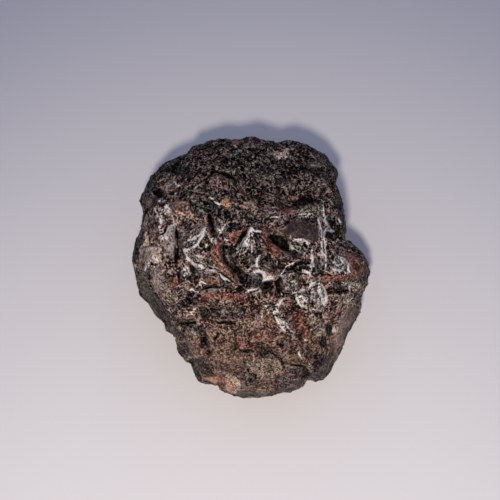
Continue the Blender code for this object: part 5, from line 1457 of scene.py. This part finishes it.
def grain_group():
    """Fibrous crystal grain: brightness on a log scale, thin crests, a lean, and where the blades crowd."""
    outputs = (
        ("Grain", "NodeSocketFloat"),
        ("Crests", "NodeSocketFloat"),
        ("Lean", "NodeSocketVector"),
        ("Crowd", "NodeSocketFloat"),
    )
    tree, make, given = new_group("fibrous_grain", (("Place", "NodeSocketVector", None),), outputs)
    place = given["Place"]
    long, long_lean, crystal = fibres(make, place, *LONG_FIBRES)
    short, short_lean, _ = fibres(make, place, *SHORT_FIBRES)
    cloud, crowd, pores, flecks = [make.noise(place, *kind)[0] for kind in (CLOUDS, CROWDS, PORES, FLECKS)]

    # Each mark's middle value, and how much it brightens the grain
    marks = (
        (long, 0.19, 2.4),
        (short, 0.20, 2.1),
        (make.ramp(flecks, *FLECK_RAMP), 0.10, 2.2),
        (make.ramp(pores, *PIT_RAMP), 0.16, -2.6),
        (crystal, 0.50, 0.5),
        (crowd, 0.50, 4.4),
        (cloud, 0.50, 3.2),
    )
    grain = make.math("MULTIPLY", make.math("SUBTRACT", pores, 0.5), 2.9)
    for part, middle, weight in marks:
        grain = make.math("MULTIPLY_ADD", make.math("SUBTRACT", part, middle), weight, grain)
    crests = make.math("MAXIMUM", long, make.math("MULTIPLY", short, 0.8))
    result = make.node("NodeGroupOutput")
    make.feed_all(result.inputs, (grain, crests, make.vector("ADD", long_lean, short_lean), crowd))
    return tree


def stone_material():
    """Dark satin iron oxide: tones of rock, rust and ochre, crystal grain, and chalk in the seams."""
    material = bpy.data.materials.new("iron_oxide_stone")
    material.use_nodes = True
    make = Maker(material.node_tree)
    shader = material.node_tree.nodes["Principled BSDF"]
    ragged = ragged_edge_group()
    coordinates = make.node("ShaderNodeTexCoord")
    place = make.scaled(coordinates.outputs["Object"], 1.0 / MM)
    tone, _ = make.attribute("tone")
    _, (rusty, yellow, seams) = make.attribute("mineral")
    _, (edges, hollows, dips) = make.attribute("relief_shading")
    _, (dust, smooth, _) = make.attribute("finish")
    grain = make.grouped(grain_group(), Place=place)
    lively = make.ramp(smooth, *CALM_GRAIN)

    # What the rock is made of, before its grain
    rust = make.grouped(ragged, Place=place, Patch=rusty, Raggedness=1.5, Scale=1.0)["Mask"]
    ochre = make.grouped(ragged, Place=place, Patch=yellow, Raggedness=1.5, Scale=1.3)["Mask"]
    colour = make.mix(make.math("MULTIPLY", rust, RUST_SHARE), tone, RUST_STAIN)
    colour = make.mix(make.math("MULTIPLY", ochre, OCHRE_SHARE), colour, OCHRE_STAIN)

    # Grain: brightness goes up and down by a power, with a painted highlight on crests and painted shade in
    # fine creases, and the brightest blades turn a pale beige, partly their own colour and partly painted
    # highlight
    crest_shading = make.math("MULTIPLY_ADD", make.ramp(edges, *CREST_SHADING_RAMP), 1.2, -0.6)
    level = make.math("ADD", grain["Grain"], crest_shading)
    contrast = make.math("MULTIPLY", lively, GRAIN_CONTRAST)
    power = make.math("MULTIPLY", make.math("MINIMUM", level, BRIGHTEST_GRAIN), contrast)
    evened = make.ramp(lively, *CALM_TONE)
    rock = make.scaled(colour, make.math("MULTIPLY", make.math("EXPONENT", power), evened))
    pale = make.math("MULTIPLY", make.ramp(level, *PALE_RAMP), lively)
    rock = make.mix(make.math("MULTIPLY", pale, PALE_SHARE), rock, PALE_BLADE_AND_HIGHLIGHT)
    _, tints = make.noise(place, 1.5, 2.0)
    doubled = make.mix(1.0, tints, (2.0, 2.0, 2.0, 1.0), "MULTIPLY")
    rock = make.mix(TINT_SHARE, rock, make.mix(1.0, rock, doubled, "MULTIPLY"))

    # Painted shade: hollows are painted darker, the small ones and the broad ones
    shade = make.math("MULTIPLY", make.ramp(hollows, *HOLLOW_SHADE_RAMP), make.ramp(dips, *DIP_SHADE_RAMP))
    rock = make.scaled(rock, shade)

    # Chalk: solid in the seams, and thinning out into single flecks beside them
    loose = make.math("MULTIPLY_ADD", grain["Grain"], 0.06, -0.085)
    loose = make.math("MULTIPLY_ADD", grain["Crests"], 0.28, loose)
    loose = make.math("MULTIPLY_ADD", make.math("SUBTRACT", grain["Crowd"], 0.5), 0.9, loose)
    chalky = make.math("ADD", seams, make.math("MULTIPLY", loose, make.ramp(seams, *FLECKS_NEAR_SEAMS)))
    chalk = make.ramp(chalky, *CHALK_RAMP)
    hazy = make.grouped(ragged, Place=place, Patch=dust, Raggedness=1.3, Scale=1.2)["Mask"]
    haze = make.math("MULTIPLY", hazy, make.math("MULTIPLY_ADD", grain["Grain"], 0.22, 0.25), clamp=True)
    dusted = make.mix(haze, rock, DUST_COLOUR)
    chalked = make.mix(make.math("MULTIPLY", chalk, CHALK_SHARE), dusted, CHALK_COLOUR)
    make.feed(shader.inputs["Base Color"], chalked)

    rough = make.ramp(grain["Grain"], *ROUGHNESS_RAMP)
    rough = make.math("MULTIPLY_ADD", chalk, CHALK_ROUGHNESS, rough, clamp=True)
    make.feed(shader.inputs["Roughness"], rough)
    shader.inputs["Specular IOR Level"].default_value = GLOSS_LEVEL
    shader.inputs["Specular Tint"].default_value = GLOSS_TINT

    # Each blade leans its own way, and stands a little apart from the next
    bump = make.node("ShaderNodeBump")
    make.feed(bump.inputs["Strength"], BUMP_STRENGTH)
    make.feed(bump.inputs["Distance"], BUMP_HEIGHT * MM)
    make.feed(bump.inputs["Height"], make.math("MULTIPLY", grain["Crests"], lively))
    leaning = make.scaled(grain["Lean"], make.math("MULTIPLY", lively, BLADE_LEAN))
    make.feed(shader.inputs["Normal"], make.vector("NORMALIZE", make.vector("ADD", bump.outputs[0], leaning)))
    return material


def floor_material():
    """Matt off-white paper."""
    material = bpy.data.materials.new("pale_floor")
    material.use_nodes = True
    shader = material.node_tree.nodes["Principled BSDF"]
    shader.inputs["Base Color"].default_value = (0.80, 0.79, 0.80, 1.0)
    shader.inputs["Roughness"].default_value = 0.9
    shader.inputs["Specular IOR Level"].default_value = 0.2
    return material


def build_floor():
    """A flat sheet, wider than the view."""
    reach = 1.5
    mesh = bpy.data.meshes.new("floor")
    corners = [(-reach, -reach, 0.0), (reach, -reach, 0.0), (reach, reach, 0.0), (-reach, reach, 0.0)]
    mesh.from_pydata(corners, [], [(0, 1, 2, 3)])
    mesh.materials.append(floor_material())
    floor = bpy.data.objects.new("floor", mesh)
    bpy.context.scene.collection.objects.link(floor)
    return floor


def aim(thing, target):
    """Turns a light or a camera to look at a point."""
    thing.rotation_euler = (Vector(target) - thing.location).to_track_quat("-Z", "Y").to_euler()


def build_camera():
    """The photograph's view: from the front, 65 degrees up, the stone a little below the frame's middle."""
    lens = bpy.data.cameras.new("camera")
    lens.lens = LENS
    lens.sensor_width = SENSOR_WIDTH
    camera = bpy.data.objects.new("camera", lens)
    middle = np.array(BODY_MIDDLE)
    camera.location = (middle + VIEW_AXES[2] * VIEW_DISTANCE) * MM
    aim(camera, (middle + VIEW_AXES[1] * AIM_UP) * MM)
    bpy.context.scene.collection.objects.link(camera)
    bpy.context.scene.camera = camera


def build_key():
    """A small warm lamp high in front of the stone, whose cone fades out towards the back of the floor."""
    lamp = bpy.data.lights.new("key", "SPOT")
    lamp.shadow_soft_size = KEY_RADIUS * MM
    lamp.energy = KEY_POWER
    lamp.color = KEY_COLOUR
    lamp.spot_size = math.radians(KEY_CONE)
    lamp.spot_blend = 1.0
    light = bpy.data.objects.new("key", lamp)
    middle = np.array(BODY_MIDDLE)
    light.location = (middle + pointing(KEY_AZIMUTH, KEY_ELEVATION) * KEY_DISTANCE) * MM
    aim(light, (middle + np.array(KEY_AIM)) * MM)
    bpy.context.scene.collection.objects.link(light)


def build_world():
    """A dim cool room, brighter overhead than at the horizon."""
    world = bpy.data.worlds.new("room")
    world.use_nodes = True
    make = Maker(world.node_tree)
    back = world.node_tree.nodes["Background"]
    coordinates = make.node("ShaderNodeTexCoord")
    height = make.split(coordinates.outputs["Generated"])[2]
    make.feed(back.inputs["Color"], ROOM_COLOUR)
    make.feed(back.inputs["Strength"], make.ramp(height, 0.0, 0.8, *ROOM_STRENGTHS))
    bpy.context.scene.world = world


def main():
    stone = build_stone()
    stone.data.materials.append(stone_material())
    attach(stone, "root")
    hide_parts("prophecy_stone")
    build_floor()
    build_camera()
    build_key()
    build_world()
    bpy.context.scene.view_settings.view_transform = "Standard"


main()
